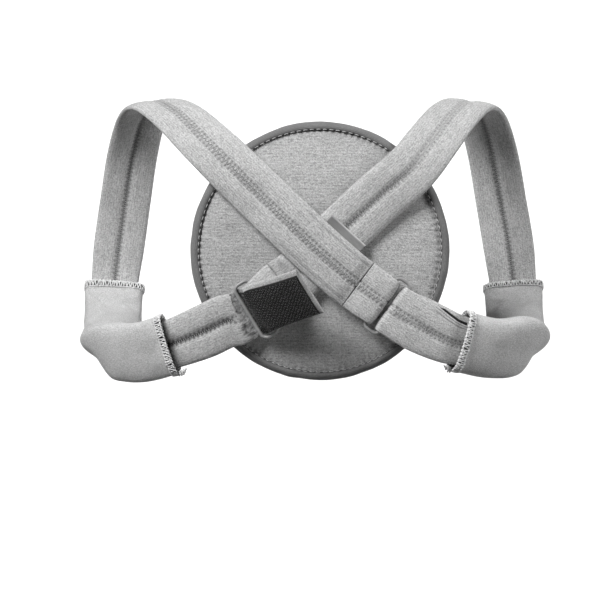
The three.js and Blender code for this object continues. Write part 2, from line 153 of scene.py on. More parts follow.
# Where a strap's section is cut, as shares of half its width: closer at the middle seam and the edges
HALF_SHARES = np.concatenate([np.arange(1, 9) * 0.04, np.arange(5, 9) * 0.08, np.arange(17, 24) * 0.04,
                              [0.96, 0.985, 1]])
SHARES = np.concatenate([-HALF_SHARES[::-1], [0], HALF_SHARES])
# What a row of a strap's course holds, and which of these are lengths
ROW_COLUMNS = ("x", "y", "z", "nx", "ny", "nz", "width", "thickness", "groove", "depth")
LENGTH_COLUMNS = [0, 1, 2, 6, 7, 9]

# The camera looks along +Y. Each light has a name, a place, a target, a size, its watts and its spread in
# degrees. Light from all round is even and faint.
CAMERA = {"place": (-0.015, -2.212, -0.0371), "lens": 176, "sensor": 36, "reach": 60}
MIDDLE = (0, 0, -0.02)
LIGHTS = (
    ("key_light", (-1.1, -1.12, 1.23), MIDDLE, 1, 6.7, 55),
    ("side_light", (1.75, -0.42, 0.8), MIDDLE, 0.7, 2.8, 55),
    ("low_light", (0, -0.9, -1), MIDDLE, 0.6, 0.14, 55),
    ("backdrop_light", (0, 2.2, 1.5), (0, 3.6, -0.5), 2.8, 60, 120),
)
SURROUND = 0.03
BACKDROP = {"floor": -1.1, "front": -5, "wall": 3.6, "top": 5, "radius": 0.8, "half": 5}

# How the cloth of a filled piece behaves, and the steps that it gets to settle in
FILLED_CLOTH = {"quality": 5, "mass": 0.15, "tension_stiffness": 12, "compression_stiffness": 12,
                "shear_stiffness": 6, "bending_stiffness": 0.6, "use_pressure": True}
SETTLING = 20


# Sizes and colours that a user would change

def length(name, description, millimetres):
    return FloatProperty(name=name, description=description, default=millimetres * MM,
                         min=0, precision=5, unit="LENGTH")


def share(name, description, default):
    return FloatProperty(name=name, description=description, default=default, min=0, max=1, subtype="FACTOR")


def colour(name, description, grey):
    return FloatVectorProperty(name=name, description=description, default=(grey, grey, grey),
                               min=0, max=1, size=3, subtype="COLOR")


class PadSizes(bpy.types.PropertyGroup):
    radius: length("Radius", "Radius of the pad over its binding", 97.5)
    crown: length("Crown", "Thickness in the middle before it swells", 10.2)
    edge: length("Edge", "Thickness where the binding grips it", 6.4)
    bow: length("Bow", "How far the top and bottom of the rim bend inwards", 4)
    swell: length("Swell", "The most that the filling may push the cloth out", 2.4)
    tape_width: length("Binding width", "Width of the folded binding on one face", 6.4)
    tape_thickness: length("Binding thickness", "Thickness of the binding tape", 1.4)
    stitch: length("Stitch pitch", "Distance between the stitches that hold the binding", 4.9)


class StrapSizes(bpy.types.PropertyGroup):
    width: length("Width", "Width of a strap", 40)
    thickness: length("Thickness", "Thickness of a strap over its lobes", 7.4)
    groove: share("Seam groove", "Share of the thickness that the middle seam pulls in", 0.42)
    zigzag: length("Zigzag pitch", "Distance between stitches on one side of the middle seam", 3.4)
    zigzag_width: length("Zigzag width", "Width of the zigzag where the strap lies flat", 6.2)
    thread: length("Thread", "Radius of the sewing thread", 0.35)


class SleeveSizes(bpy.types.PropertyGroup):
    wall: length("Wall", "Thickness of the sleeve's wall", 2)
    width: length("Width", "Width of the sleeve over its walls before it swells", 46)
    swell: length("Swell", "The most that the cloth may puff out", 4.5)
    overlock: length("Overlock pitch", "Distance between the stitches over a mouth's edge", 2.7)
    overlock_reach: length("Overlock reach", "How far the overlock reaches from the edge", 4.4)
    thread: length("Thread", "Radius of the overlock thread", 0.5)


class RingSizes(bpy.types.PropertyGroup):
    bar: length("Bar", "Diameter of the moulded bar", 2.6)
    pitch: length("Pitch", "Distance between the two long bars", 13)
    length: length("Length", "Distance between the two short bars", 45)
    corner: length("Corner", "Radius of the corners", 4.5)


class HookSizes(bpy.types.PropertyGroup):
    width: length("Width", "Width of a hook patch", 36)
    thickness: length("Thickness", "Thickness of the woven ground", 0.7)
    pitch: length("Pitch", "Distance between the hooks", 1.5)
    height: length("Height", "Height of a hook", 1.05)
    wire: length("Wire", "Radius of a hook's wire", 0.16)


class LabelSizes(bpy.types.PropertyGroup):
    length: length("Length", "Length of the label along the strap's edge", 34)
    width: length("Width", "Width of the folded label", 13)
    thickness: length("Thickness", "Thickness of the folded label", 0.8)


class BraceColours(bpy.types.PropertyGroup):
    pad: colour("Pad", "Brushed cloth of the pad", 0.445)
    strap: colour("Straps", "Brushed cloth of the straps", 0.46)
    binding: colour("Binding", "Knitted binding of the pad", 0.155)
    sleeve: colour("Sleeves", "Jersey of the sleeves", 0.5)
    thread: colour("Thread", "Sewing thread", 0.38)
    overlock: colour("Overlock", "Thread over the mouths of the sleeves", 0.72)
    ring: colour("Rings", "Moulded plastic of the rings", 0.25)
    hook: colour("Hooks", "Hook tape", 0.018)
    label: colour("Label", "Woven label", 0.5)
    backdrop: colour("Backdrop", "Floor and backdrop", 0.86)


# Node trees

class Shade:
    """A value in a node tree. Sums of shades add the Math nodes that they need."""

    def __init__(self, tree, socket):
        self.tree = tree
        self.socket = socket

    def math(self, operation, first, second):
        return self.tree.node("ShaderNodeMath", {"operation": operation}, {0: first, 1: second})

    def __add__(self, other):
        return self.math("ADD", self, other)

    def __radd__(self, other):
        return self.math("ADD", other, self)

    def __sub__(self, other):
        return self.math("SUBTRACT", self, other)

    def __rsub__(self, other):
        return self.math("SUBTRACT", other, self)

    def __mul__(self, other):
        return self.math("MULTIPLY", self, other)

    def __rmul__(self, other):
        return self.math("MULTIPLY", other, self)


class NodeTree:
    """A tree whose nodes are all made by one method."""

    def __init__(self, tree):
        self.tree = tree

    def node(self, kind, settings=None, inputs=None, output=0):
        made = self.tree.nodes.new(kind)
        for key, value in (settings or {}).items():
            setattr(made, key, value)
        for key, value in (inputs or {}).items():
            self.feed(made.inputs[key], value)
        return Shade(self, made.outputs[output])

    def feed(self, socket, value):
        if isinstance(value, Shade):
            self.tree.links.new(value.socket, socket)
        else:
            socket.default_value = value


class Finish(NodeTree):
    """A procedural material. Values that are the same all over are set on the shader's own sockets."""

    def __init__(self, name, **constants):
        self.material = bpy.data.materials.new(name)
        self.material.use_nodes = True
        super().__init__(self.material.node_tree)
        self.shader = self.tree.nodes["Principled BSDF"]
        for key, value in constants.items():
            self.shader.inputs[key.replace("_", " ")].default_value = value

    def object_place(self):
        return self.node("ShaderNodeTexCoord", output="Object")

    def cloth_place(self):
        return self.node("ShaderNodeAttribute", {"attribute_name": "cloth"}, output="Vector")

    def tone(self):
        return self.node("ShaderNodeAttribute", {"attribute_name": "tone"}, output="Fac")

    def noise(self, place, size, detail=2, roughness=0.5):
        """Noise around 0.5 whose bumps have the given size along each axis."""
        scaled = self.node("ShaderNodeVectorMath", {"operation": "MULTIPLY"},
                           {0: place, 1: tuple(1 / s for s in size)})
        return self.node("ShaderNodeTexNoise", None,
                         {"Vector": scaled, "Scale": 1, "Detail": detail, "Roughness": roughness})

    def ribs(self, place, direction, pitch, distortion=0):
        """Waves between 0 and 1 along one axis, a pitch apart."""
        return self.node("ShaderNodeTexWave", {"bands_direction": direction, "wave_profile": "SIN"},
                         {"Vector": place, "Scale": math.tau / (20 * pitch), "Distortion": distortion,
                          "Detail": 1, "Detail Scale": 2})

    def between(self, low, high, factor):
        """A mix of two colours, of which the second may already be a shade."""
        high = high if isinstance(high, Shade) else (*high, 1)
        return self.node("ShaderNodeMix", {"data_type": "RGBA", "clamp_factor": True},
                         {0: factor, 6: (*low, 1), 7: high}, output=2)

    def surface(self, base, roughness, height, depth, strength=0.6):
        normal = self.node("ShaderNodeBump", None,
                           {"Height": height, "Distance": depth, "Strength": strength})
        self.feed(self.shader.inputs["Base Color"], base)
        self.feed(self.shader.inputs["Roughness"], roughness)
        self.feed(self.shader.inputs["Normal"], normal)
        return self.material


def scaled_colour(base, factor):
    return tuple(min(1.0, c * factor) for c in base)


def brushed_cloth(name, base, place_of, streak, rib_axis, rib):
    """Loop cloth with a raised nap: fine grain, streaks and ribs along the knit, and soft patches."""
    finish = Finish(name, Sheen_Weight=0.25, Sheen_Roughness=0.5, Specular_IOR_Level=0.2)
    place = place_of(finish)
    streaks = finish.noise(place, streak, detail=2)
    grain = finish.noise(place, (1.05 * MM,) * 3, detail=3, roughness=0.8)
    patches = finish.noise(place, (16 * MM, 12 * MM, 12 * MM), detail=1)
    ribs = finish.ribs(place, rib_axis, rib, distortion=2)
    nap = streaks * 0.24 + grain * 0.72 + ribs * 0.04
    worn = (nap - 0.5) * 4 + (patches - 0.5) * 0.3 + 0.5
    cloth = finish.between(scaled_colour(base, 0.56), scaled_colour(base, 1.36), worn)
    # The tone attribute darkens the cloth: stitch marks, pressed nap and painted shade
    toned = finish.between(scaled_colour(base, 0.02), cloth, finish.tone())
    return finish.surface(toned, grain * 0.2 + 0.8, nap, 1.5 * MM)


def knit_tape(name, base):
    """Ribbed knit binding with a soft fleck."""
    finish = Finish(name, Sheen_Weight=0.15, Sheen_Roughness=0.5, Specular_IOR_Level=0.25)
    place = finish.cloth_place()
    ribs = finish.ribs(place, "Y", 1.1 * MM, distortion=0.6)
    fleck = finish.noise(place, (1.6 * MM, 0.7 * MM, 0.7 * MM), detail=2)
    patches = finish.noise(place, (18 * MM, 6 * MM, 6 * MM), detail=1)
    worn = ribs * 0.25 + (fleck - 0.5) * 1.2 + (patches - 0.5) * 0.6 + 0.38
    cloth = finish.between(scaled_colour(base, 0.66), scaled_colour(base, 1.4), worn)
    # The tone attribute carries painted shade along the sunk edge
    toned = finish.between(scaled_colour(base, 0.12), cloth, finish.tone())
    return finish.surface(toned, fleck * 0.2 + 0.72, ribs * 0.5 + fleck * 0.5, 0.5 * MM)


def jersey(name, base):
    """Smooth fine knit, with a faint grain and wales along the sleeve."""
    finish = Finish(name, Sheen_Weight=0.2, Sheen_Roughness=0.4, Specular_IOR_Level=0.25)
    place = finish.cloth_place()
    wales = finish.ribs(place, "Y", 0.9 * MM, distortion=1.2)
    grain = finish.noise(place, (0.9 * MM, 0.6 * MM, 0.6 * MM), detail=3, roughness=0.6)
    patches = finish.noise(place, (14 * MM, 14 * MM, 14 * MM), detail=2)
    worn = wales * 0.08 + (grain - 0.5) * 3.4 + (patches - 0.5) * 0.7 + 0.46
    cloth = finish.between(scaled_colour(base, 0.7), scaled_colour(base, 1.22), worn)
    # The tone attribute carries painted shade at the mouths, and the darker inner skin
    toned = finish.between(scaled_colour(base, 0.02), cloth, finish.tone())
    return finish.surface(toned, grain * 0.2 + 0.75, wales * 0.15 + grain * 0.85, 0.9 * MM)


def moulded_plastic(name, base):
    """Satin moulding with a fine spark-eroded grain and scuffed patches."""
    finish = Finish(name, Specular_IOR_Level=0.5)
    place = finish.object_place()
    grain = finish.noise(place, (0.35 * MM,) * 3, detail=2)
    scuffs = finish.noise(place, (5 * MM,) * 3, detail=3)
    tint = finish.between(scaled_colour(base, 0.8), scaled_colour(base, 1.25), (scuffs - 0.5) * 1.6 + 0.5)
    return finish.surface(tint, scuffs * 0.25 + 0.25, grain, 0.05 * MM, 0.4)


def hook_ground(name, base):
    """Woven ground of hook tape."""
    finish = Finish(name, Specular_IOR_Level=0.4)
    place = finish.cloth_place()
    warp = finish.ribs(place, "Y", 0.75 * MM)
    weft = finish.ribs(place, "X", 0.75 * MM)
    fleck = finish.noise(place, (0.8 * MM,) * 3, detail=2)
    weave = warp * weft
    worn = weave * 0.7 + (fleck - 0.5) * 0.8
    tint = finish.between(scaled_colour(base, 0.3), scaled_colour(base, 1.4), worn)
    return finish.surface(tint, fleck * 0.2 + 0.6, weave, 0.3 * MM)


def hook_wire(name, base):
    """Stiff nylon of the hooks, lighter where it catches wear."""
    finish = Finish(name, Specular_IOR_Level=0.6)
    fleck = finish.noise(finish.object_place(), (1.7 * MM,) * 3, detail=2)
    tint = finish.between(scaled_colour(base, 1.5), scaled_colour(base, 13), (fleck - 0.5) * 2.4 + 0.45)
    return finish.surface(tint, fleck * 0.2 + 0.32, fleck, 0.05 * MM)


def woven_label(name, base):
    """Close satin weave of a narrow tape."""
    finish = Finish(name, Sheen_Weight=0.1, Specular_IOR_Level=0.4)
    place = finish.cloth_place()
    weft = finish.ribs(place, "X", 0.55 * MM, distortion=0.3)
    warp = finish.ribs(place, "Y", 0.8 * MM, distortion=0.3)
    fleck = finish.noise(place, (5 * MM, 1.6 * MM, 1.6 * MM), detail=3)
    worn = weft * 0.3 + warp * 0.2 + (fleck - 0.5) * 0.8 + 0.25
    cloth = finish.between(scaled_colour(base, 0.75), scaled_colour(base, 1.3), worn)
    # The tone attribute carries painted shade and a painted highlight
    toned = finish.between(scaled_colour(base, 0.15), cloth, finish.tone())
    return finish.surface(toned, fleck * 0.2 + 0.5, weft * 0.5 + warp * 0.5, 0.15 * MM)


def sewing_thread(name, base):
    """Spun thread: light fibres over darker plies."""
    finish = Finish(name, Sheen_Weight=0.3, Sheen_Roughness=0.4, Specular_IOR_Level=0.3)
    fibres = finish.noise(finish.object_place(), (0.7 * MM,) * 3, detail=3)
    tint = finish.between(scaled_colour(base, 0.6), scaled_colour(base, 1.3), (fibres - 0.5) * 2 + 0.5)
    return finish.surface(tint, fibres * 0.2 + 0.7, fibres, 0.2 * MM)


def new_modifier_tree(name, inputs):
    """A geometry tree with named inputs. It returns the tree and the shade of each input."""
    tree = bpy.data.node_groups.new(name, "GeometryNodeTree")
    for label, kind in inputs:
        tree.interface.new_socket(label, in_out="INPUT", socket_type=kind)
    tree.interface.new_socket("Result", in_out="OUTPUT", socket_type="NodeSocketGeometry")
    nodes = NodeTree(tree)
    entry = tree.nodes.new("NodeGroupInput")
    return nodes, {label: Shade(nodes, entry.outputs[label]) for label, _ in inputs}


def end_tree(nodes, geometry, material):
    """Closes a geometry tree: real faces, shaded smooth, with their finish."""
    real = nodes.node("GeometryNodeRealizeInstances", None, {"Geometry": geometry})
    smooth = nodes.node("GeometryNodeSetShadeSmooth", None, {"Geometry": real})
    finished = nodes.node("GeometryNodeSetMaterial", None, {"Geometry": smooth, "Material": material})
    exit_node = nodes.tree.nodes.new("NodeGroupOutput")
    nodes.feed(exit_node.inputs["Result"], finished)
    return nodes.tree


def thread_tree():
    """Turns paths of loose edges into round thread."""
    nodes, given = new_modifier_tree(THREAD_TREE, (
        ("Paths", "NodeSocketGeometry"), ("Radius", "NodeSocketFloat"),
        ("Sides", "NodeSocketInt"), ("Finish", "NodeSocketMaterial")))
    path = nodes.node("GeometryNodeMeshToCurve", None, {"Mesh": given["Paths"]})
    section = nodes.node("GeometryNodeCurvePrimitiveCircle", None,
                         {"Resolution": given["Sides"], "Radius": given["Radius"]})
    thread = nodes.node("GeometryNodeCurveToMesh", None,
                        {"Curve": path, "Profile Curve": section, "Fill Caps": True})
    return end_tree(nodes, thread, given["Finish"])


def ring_tree():
    """A moulded loop: a round bar swept round an oblong with rounded corners."""
    nodes, given = new_modifier_tree("moulded_ring", (
        ("Blank", "NodeSocketGeometry"), ("Length", "NodeSocketFloat"), ("Pitch", "NodeSocketFloat"),
        ("Corner", "NodeSocketFloat"), ("Bar", "NodeSocketFloat"), ("Finish", "NodeSocketMaterial")))
    oblong = nodes.node("GeometryNodeCurvePrimitiveQuadrilateral", {"mode": "RECTANGLE"},
                        {"Width": given["Pitch"], "Height": given["Length"]})
    path = nodes.node("GeometryNodeFilletCurve", {"mode": "POLY"},
                      {"Curve": oblong, "Radius": given["Corner"], "Limit Radius": True, "Count": 9})
    fine = nodes.node("GeometryNodeResampleCurve", {"mode": "LENGTH"}, {"Curve": path, "Length": 0.5 * MM})
    section = nodes.node("GeometryNodeCurvePrimitiveCircle", None,
                         {"Resolution": 20, "Radius": given["Bar"] * 0.5})
    ring = nodes.node("GeometryNodeCurveToMesh", None, {"Curve": fine, "Profile Curve": section})
    return end_tree(nodes, ring, given["Finish"])


def hook_tree():
    """Stands a bent hook on each point, along the point's own directions out and ahead."""
    nodes, given = new_modifier_tree("field_of_hooks", (
        ("Points", "NodeSocketGeometry"), ("Height", "NodeSocketFloat"), ("Wire", "NodeSocketFloat"),
        ("Unevenness", "NodeSocketFloat"), ("Finish", "NodeSocketMaterial")))
    top = nodes.node("ShaderNodeCombineXYZ", None, {"X": given["Height"] * 0.1, "Z": given["Height"] * 1.7})
    tip = nodes.node("ShaderNodeCombineXYZ", None, {"X": given["Height"] * 0.8, "Z": given["Height"] * 0.45})
    bend = nodes.node("GeometryNodeCurveQuadraticBezier", None,
                      {"Resolution": 5, "Start": (0, 0, 0), "Middle": top, "End": tip})
    section = nodes.node("GeometryNodeCurvePrimitiveCircle", None,
                         {"Resolution": 4, "Radius": given["Wire"]})
    hook = nodes.node("GeometryNodeCurveToMesh", None,
                      {"Curve": bend, "Profile Curve": section, "Fill Caps": True})
    out = nodes.node("GeometryNodeInputNamedAttribute", {"data_type": "FLOAT_VECTOR"}, {"Name": "out"})
    ahead = nodes.node("GeometryNodeInputNamedAttribute", {"data_type": "FLOAT_VECTOR"}, {"Name": "ahead"})
    sway = nodes.node("FunctionNodeRandomValue", {"data_type": "FLOAT_VECTOR"},
                      {"Min": (-1, -1, -1), "Max": (1, 1, 1), "Seed": 11})
    swayed = nodes.node("ShaderNodeVectorMath", {"operation": "SCALE"},
                        {0: sway, "Scale": given["Unevenness"]})
    aimed = nodes.node("ShaderNodeVectorMath", {"operation": "ADD"}, {0: out, 1: swayed})
    upright = nodes.node("FunctionNodeAlignRotationToVector", {"axis": "Z"}, {"Vector": aimed})
    turned = nodes.node("FunctionNodeAlignRotationToVector", {"axis": "X", "pivot_axis": "Z"},
                        {"Rotation": upright, "Vector": ahead})
    field = nodes.node("GeometryNodeInstanceOnPoints", None,
                       {"Points": given["Points"], "Instance": hook, "Rotation": turned})
    return end_tree(nodes, field, given["Finish"])


def grow(piece, tree, **values):
    """Runs a geometry tree on a piece and leaves the result as its plain mesh."""
    modifier = piece.modifiers.new(tree.name, "NODES")
    modifier.node_group = tree
    for item in tree.interface.items_tree:
        if item.in_out == "INPUT" and item.name in values:
            modifier[item.identifier] = values[item.name]
    depsgraph = bpy.context.evaluated_depsgraph_get()
    mesh = bpy.data.meshes.new_from_object(piece.evaluated_get(depsgraph))
    mesh.name = piece.name
    piece.modifiers.clear()
    piece.data = mesh
    if not mesh.polygons:
        raise RuntimeError(f"{tree.name} made no faces for {piece.name}")
    return piece


# Meshes

def ripple(place, size, seed):
    """Smooth noise between -1 and 1 over an array of places, with bumps of about the given size."""
    cell = np.asarray(place) / size
    low = np.floor(cell)
    part = cell - low
    part = part * part * (3 - 2 * part)
    total = np.zeros(cell.shape[:-1])
    for corner in product((0, 1), repeat=3):
        mixed = np.sin((low + corner) @ (12.9898, 78.233, 37.719) + seed * 7.13) * 43758.5453
        weight = np.prod(np.where(corner, part, 1 - part), axis=-1)
        total += weight * (2 * (mixed - np.floor(mixed)) - 1)
    return total


def unit(vectors):
    return vectors / np.linalg.norm(vectors, axis=-1, keepdims=True)


def fade(low, high, values):
    """0 below low, 1 above high, and a smooth step between."""
    t = np.clip((values - low) / (high - low), 0, 1)
    return t * t * (3 - 2 * t)


def ridge(distance, width):
    """1 on a line, falling smoothly to 0 on both sides of it."""
    return np.exp(-((distance / width) ** 2))


def add_piece(name, points, faces, finish, edges=(), **attributes):
    """A smooth mesh with its finish. Each attribute holds a number or a vector for every point."""
    mesh = bpy.data.meshes.new(name)
    mesh.from_pydata(np.asarray(points).tolist(), edges, faces)
    for key, values in attributes.items():
        values = np.asarray(values, np.float32)
        vector = values.ndim == 2
        layer = mesh.attributes.new(key, "FLOAT_VECTOR" if vector else "FLOAT", "POINT")
        layer.data.foreach_set("vector" if vector else "value", values.ravel())
    mesh.materials.append(finish)
    mesh.shade_smooth()
    piece = bpy.data.objects.new(name, mesh)
    bpy.context.scene.collection.objects.link(piece)
    return piece


def ready(piece, slot, *nodes, fill=None):
    """Hands a finished piece to the frame."""
    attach(piece, BODY)
    if nodes:
        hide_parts(*nodes)
    return piece


def band_faces(rows, columns, wrap_rows=False):
    """Quads between rows of points, where each row is a closed ring."""
    count = rows if wrap_rows else rows - 1
    here = (np.arange(count) * columns)[:, None]
    ahead = ((np.arange(count) + 1) % rows * columns)[:, None]
    k = np.arange(columns)[None, :]
    after = (k + 1) % columns
    quads = np.stack([here + k, ahead + k, ahead + after, here + after], axis=-1)
    return quads.reshape(-1, 4).tolist()


def sheet_faces(rows, columns):
    """A closed sheet: each row of points goes along the lower face and back along the upper one."""
    around = 2 * columns
    faces = band_faces(rows, around)
    for start in (0, (rows - 1) * around):
        for k in range(columns - 1):
            quad = [start + k, start + k + 1, start + around - 2 - k, start + around - 1 - k]
            faces.append(quad if start == 0 else quad[::-1])
    return faces


def add_thread(name, paths, radius, sides, finish):
    """Thread along paths. Each path is an array of points, and a closed one ends where it starts."""
    points, edges, start = [], [], 0
    for path in paths:
        closed = np.allclose(path[0], path[-1])
        kept = path[:-1] if closed else path
        points.append(kept)
        edges += [(start + i, start + i + 1) for i in range(len(kept) - 1)]
        if closed:
            edges.append((start + len(kept) - 1, start))
        start += len(kept)
    piece = add_piece(name, np.concatenate(points), (), finish, edges=edges)
    tree = bpy.data.node_groups.get(THREAD_TREE) or thread_tree()
    return grow(piece, tree, Radius=radius, Sides=sides, Finish=finish)


def puffed(name, points, faces, pinned, pressure, most):
    """Blows a cloth up from inside with its pinned points held, and returns the new points.
    No point moves further than most."""
    mesh = bpy.data.meshes.new(name)
    mesh.from_pydata(points.tolist(), [], faces)
    cushion = bpy.data.objects.new(name, mesh)
    bpy.context.scene.collection.objects.link(cushion)
    held = cushion.vertex_groups.new(name="held")
    held.add(np.nonzero(pinned)[0].tolist(), 1, "REPLACE")
    cloth = cushion.modifiers.new("cloth", "CLOTH")
    for key, value in FILLED_CLOTH.items():
        setattr(cloth.settings, key, value)
    cloth.settings.vertex_group_mass = held.name
    cloth.settings.uniform_pressure_force = pressure
    cloth.settings.effector_weights.gravity = 0
    cloth.collision_settings.use_collision = False
    cloth.point_cache.frame_start = 1
    cloth.point_cache.frame_end = SETTLING
    scene = bpy.context.scene
    for step in range(1, SETTLING + 1):
        scene.frame_set(step)
    settled = cushion.evaluated_get(bpy.context.evaluated_depsgraph_get()).data
    moved = np.empty(len(points) * 3, np.float32)
    settled.vertices.foreach_get("co", moved)
    bpy.data.objects.remove(cushion)
    bpy.data.meshes.remove(mesh)
    scene.frame_set(1)
    shift = moved.reshape(-1, 3) - points
    far = np.linalg.norm(shift, axis=1, keepdims=True)
    return points + shift * np.minimum(1, most * np.tanh(far / most) / np.maximum(far, 1e-9))


# Straps

def named_rows(columns, table):
    return [dict(zip(columns, row)) for row in table]


def on_side(row, side):
    """A row of a table that holds for both sides, on one side: 1 is the right and -1 the left."""
    moved = dict(row)
    moved["x"] = side * row["x"] + moved.pop("shift")
    moved["z"] = row["z"] + side * moved.pop("rise", 0)
    moved["nx"] = side * row["nx"]
    return moved


class RingFrame:
    """A ring's middle, the way from its inner bar to its outer bar, and the two bars, in millimetres."""

    def __init__(self, place, pitch):
        lean = math.radians(place["lean"])
        self.away = np.array((math.cos(lean), 0, math.sin(lean)))
        self.along = np.array((-self.away[2], 0, self.away[0]))
        self.middle = np.array((place["x"], RING_DEPTH, place["z"]))
        self.inner_bar = self.middle - self.away * pitch / 2
        self.outer_bar = self.middle + self.away * pitch / 2
        self.bend = place["bend"]


def row_from(bar, direction, distance, y, ny=-1, **rest):
    """A row of a strap's course that lies a distance from a ring's bar, at a given depth."""
    spot = bar + direction * distance
    return {"x": spot[0], "y": y, "z": spot[2], "ny": ny, **rest}


def bend_round(bar, toward, to_degrees, steps, face, thickness):
    """Rows of a strap that bends round a bar, from its inner side to the outside."""
    rows = []
    for angle in np.radians(np.linspace(0, to_degrees, steps + 1)):
        radial = toward * math.sin(angle) + np.array((0, math.cos(angle), 0))
        x, y, z = bar + radial * (BEND_CLEAR + thickness / 2)
        nx, ny, nz = radial * face
        rows.append({"x": x, "y": y, "z": z, "nx": nx, "ny": ny, "nz": nz,
                     "width": BEND_WIDTH, "thickness": thickness, "groove": 0.1})
    return rows


def sewn_end(ring, turn, slide):
    """The strap's end behind, its bend round the ring's inner bar, and the loop up to the sewn crease.
    turn is how far the strap leaves the ring out of square, and slide how far it lies off the middle."""
    angle = math.radians(turn)
    x, _, z = -ring.away
    course = np.array((x * math.cos(angle) - z * math.sin(angle), 0,
                       x * math.sin(angle) + z * math.cos(angle)))
    bar = ring.inner_bar + ring.along * slide
    return [
        row_from(bar, course, 19, -18.4, 1, thickness=2, groove=0.1),
        row_from(bar, course, 10, -17.2, 1, thickness=ring.bend, groove=0.1),
        *bend_round(bar, ring.away, 180, 6, 1, ring.bend),
        row_from(bar, course, 10, -23.4, thickness=4.4, groove=0.2),
        row_from(bar, course, 20.5, -22, thickness=3, groove=0.1),
    ]


def ring_tail(table, ring, to_degrees, steps, slide):
    """The tail from the sleeve to the ring, and its bend round the outer bar, slid along it."""
    bar = ring.outer_bar + ring.along * slide
    return [
        *named_rows(TAIL_COLUMNS, table),
        row_from(bar, ring.away, 9, -16.2, thickness=4.2, groove=0.2, width=BEND_WIDTH),
        *bend_round(bar, -ring.away, to_degrees, steps, -1, ring.bend),
    ]


class Way:
    """A strap's course: close frames, each with its place, its directions and its section."""

    def __init__(self, rows, sizes, step, crease):
        # What a row has unless it says otherwise
        plain = {"nx": 0, "ny": -1, "nz": 0, "groove": sizes.groove, "depth": 12.5,
                 "width": sizes.width / MM, "thickness": sizes.thickness / MM}
        table = np.array([[{**plain, **row}[c] for c in ROW_COLUMNS] for row in rows], float)
        table[:, LENGTH_COLUMNS] *= MM
        chords = np.linalg.norm(np.diff(table[:, :3], axis=0), axis=1)
        knots = np.concatenate([[0], np.cumsum(chords)])
        last = len(rows) - 1
        before = np.maximum(np.arange(last + 1) - 1, 0)
        after = np.minimum(np.arange(last + 1) + 1, last)
        slope = (table[after] - table[before]) / (knots[after] - knots[before])[:, None]
        # Frames lie a step apart, and closer at the sewn crease
        spots = np.linspace(0, knots[-1], int(knots[-1] / step))
        close = np.linspace(-1.5, 1.5, 13) * MM + knots[crease]
        spots = np.sort(np.concatenate([spots[np.abs(spots - knots[crease]) > 1.8 * MM], close]))
        # A smooth curve through the rows, which keeps the slope at each of them
        i = np.clip(np.searchsorted(knots, spots, side="right") - 1, 0, last - 1)
        span = (knots[i + 1] - knots[i])[:, None]
        t = (spots - knots[i])[:, None] / span
        ease = t * t * (3 - 2 * t)
        values = table[i] * (1 - ease) + table[i + 1] * ease
        values += slope[i] * t * (1 - t) ** 2 * span + slope[i + 1] * t * t * (t - 1) * span
        self.point = values[:, :3]
        self.ahead = unit(np.gradient(self.point, axis=0))
        self.across = unit(np.cross(self.ahead, values[:, 3:6]))
        self.out = np.cross(self.across, self.ahead)
        self.width, self.thickness, self.groove, self.depth = values[:, 6:].T
        steps = np.linalg.norm(np.diff(self.point, axis=0), axis=1)
        self.along = np.concatenate([[0], np.cumsum(steps)])
        self.knots = np.interp(knots, spots, self.along)

    def at(self, along, values):
        """Values of the frames, such as their places, at distances along the course."""
        flat = values.reshape(len(self.along), -1)
        columns = [np.interp(along, self.along, column) for column in flat.T]
        return np.stack(columns, axis=-1) if values.ndim > 1 else columns[0]

    def spot(self, along, across, out):
        return (self.at(along, self.point) + self.at(along, self.across) * np.asarray(across)[..., None]
                + self.at(along, self.out) * np.asarray(out)[..., None])


class StrapFace:
    """One face of a strap before it is sewn, as arrays over its frames and its shares."""

    def __init__(self, way, face):
        self.along = way.along[:, None]
        self.wide = SHARES[None, :]
        self.across = self.wide * way.width[:, None] / 2
        self.cloth = np.stack(np.broadcast_arrays(self.along, self.across, face * 20 * MM), axis=-1)
        self.rounded = np.sqrt(1 - self.wide ** 4)
        seam = 1 - way.groove[:, None] * ridge(self.wide, 0.2)
        left = np.minimum(self.along, way.along[-1] - self.along)
        hem = np.sqrt(np.clip(1 - (1 - np.clip(left / (2.4 * MM), 0, 1)) ** 2, 0.02, 1))
        soft = ripple(self.cloth, (13 * MM, 9 * MM, 1), 3)
        nap = ripple(self.cloth, (2.6 * MM, 1.3 * MM, 1), 5)
        uneven = MM * (0.2 * soft + 0.1 * nap)
        self.height = self.rounded * hem * (seam * way.thickness[:, None] / 2 + uneven)
        self.tone = np.ones_like(self.height)


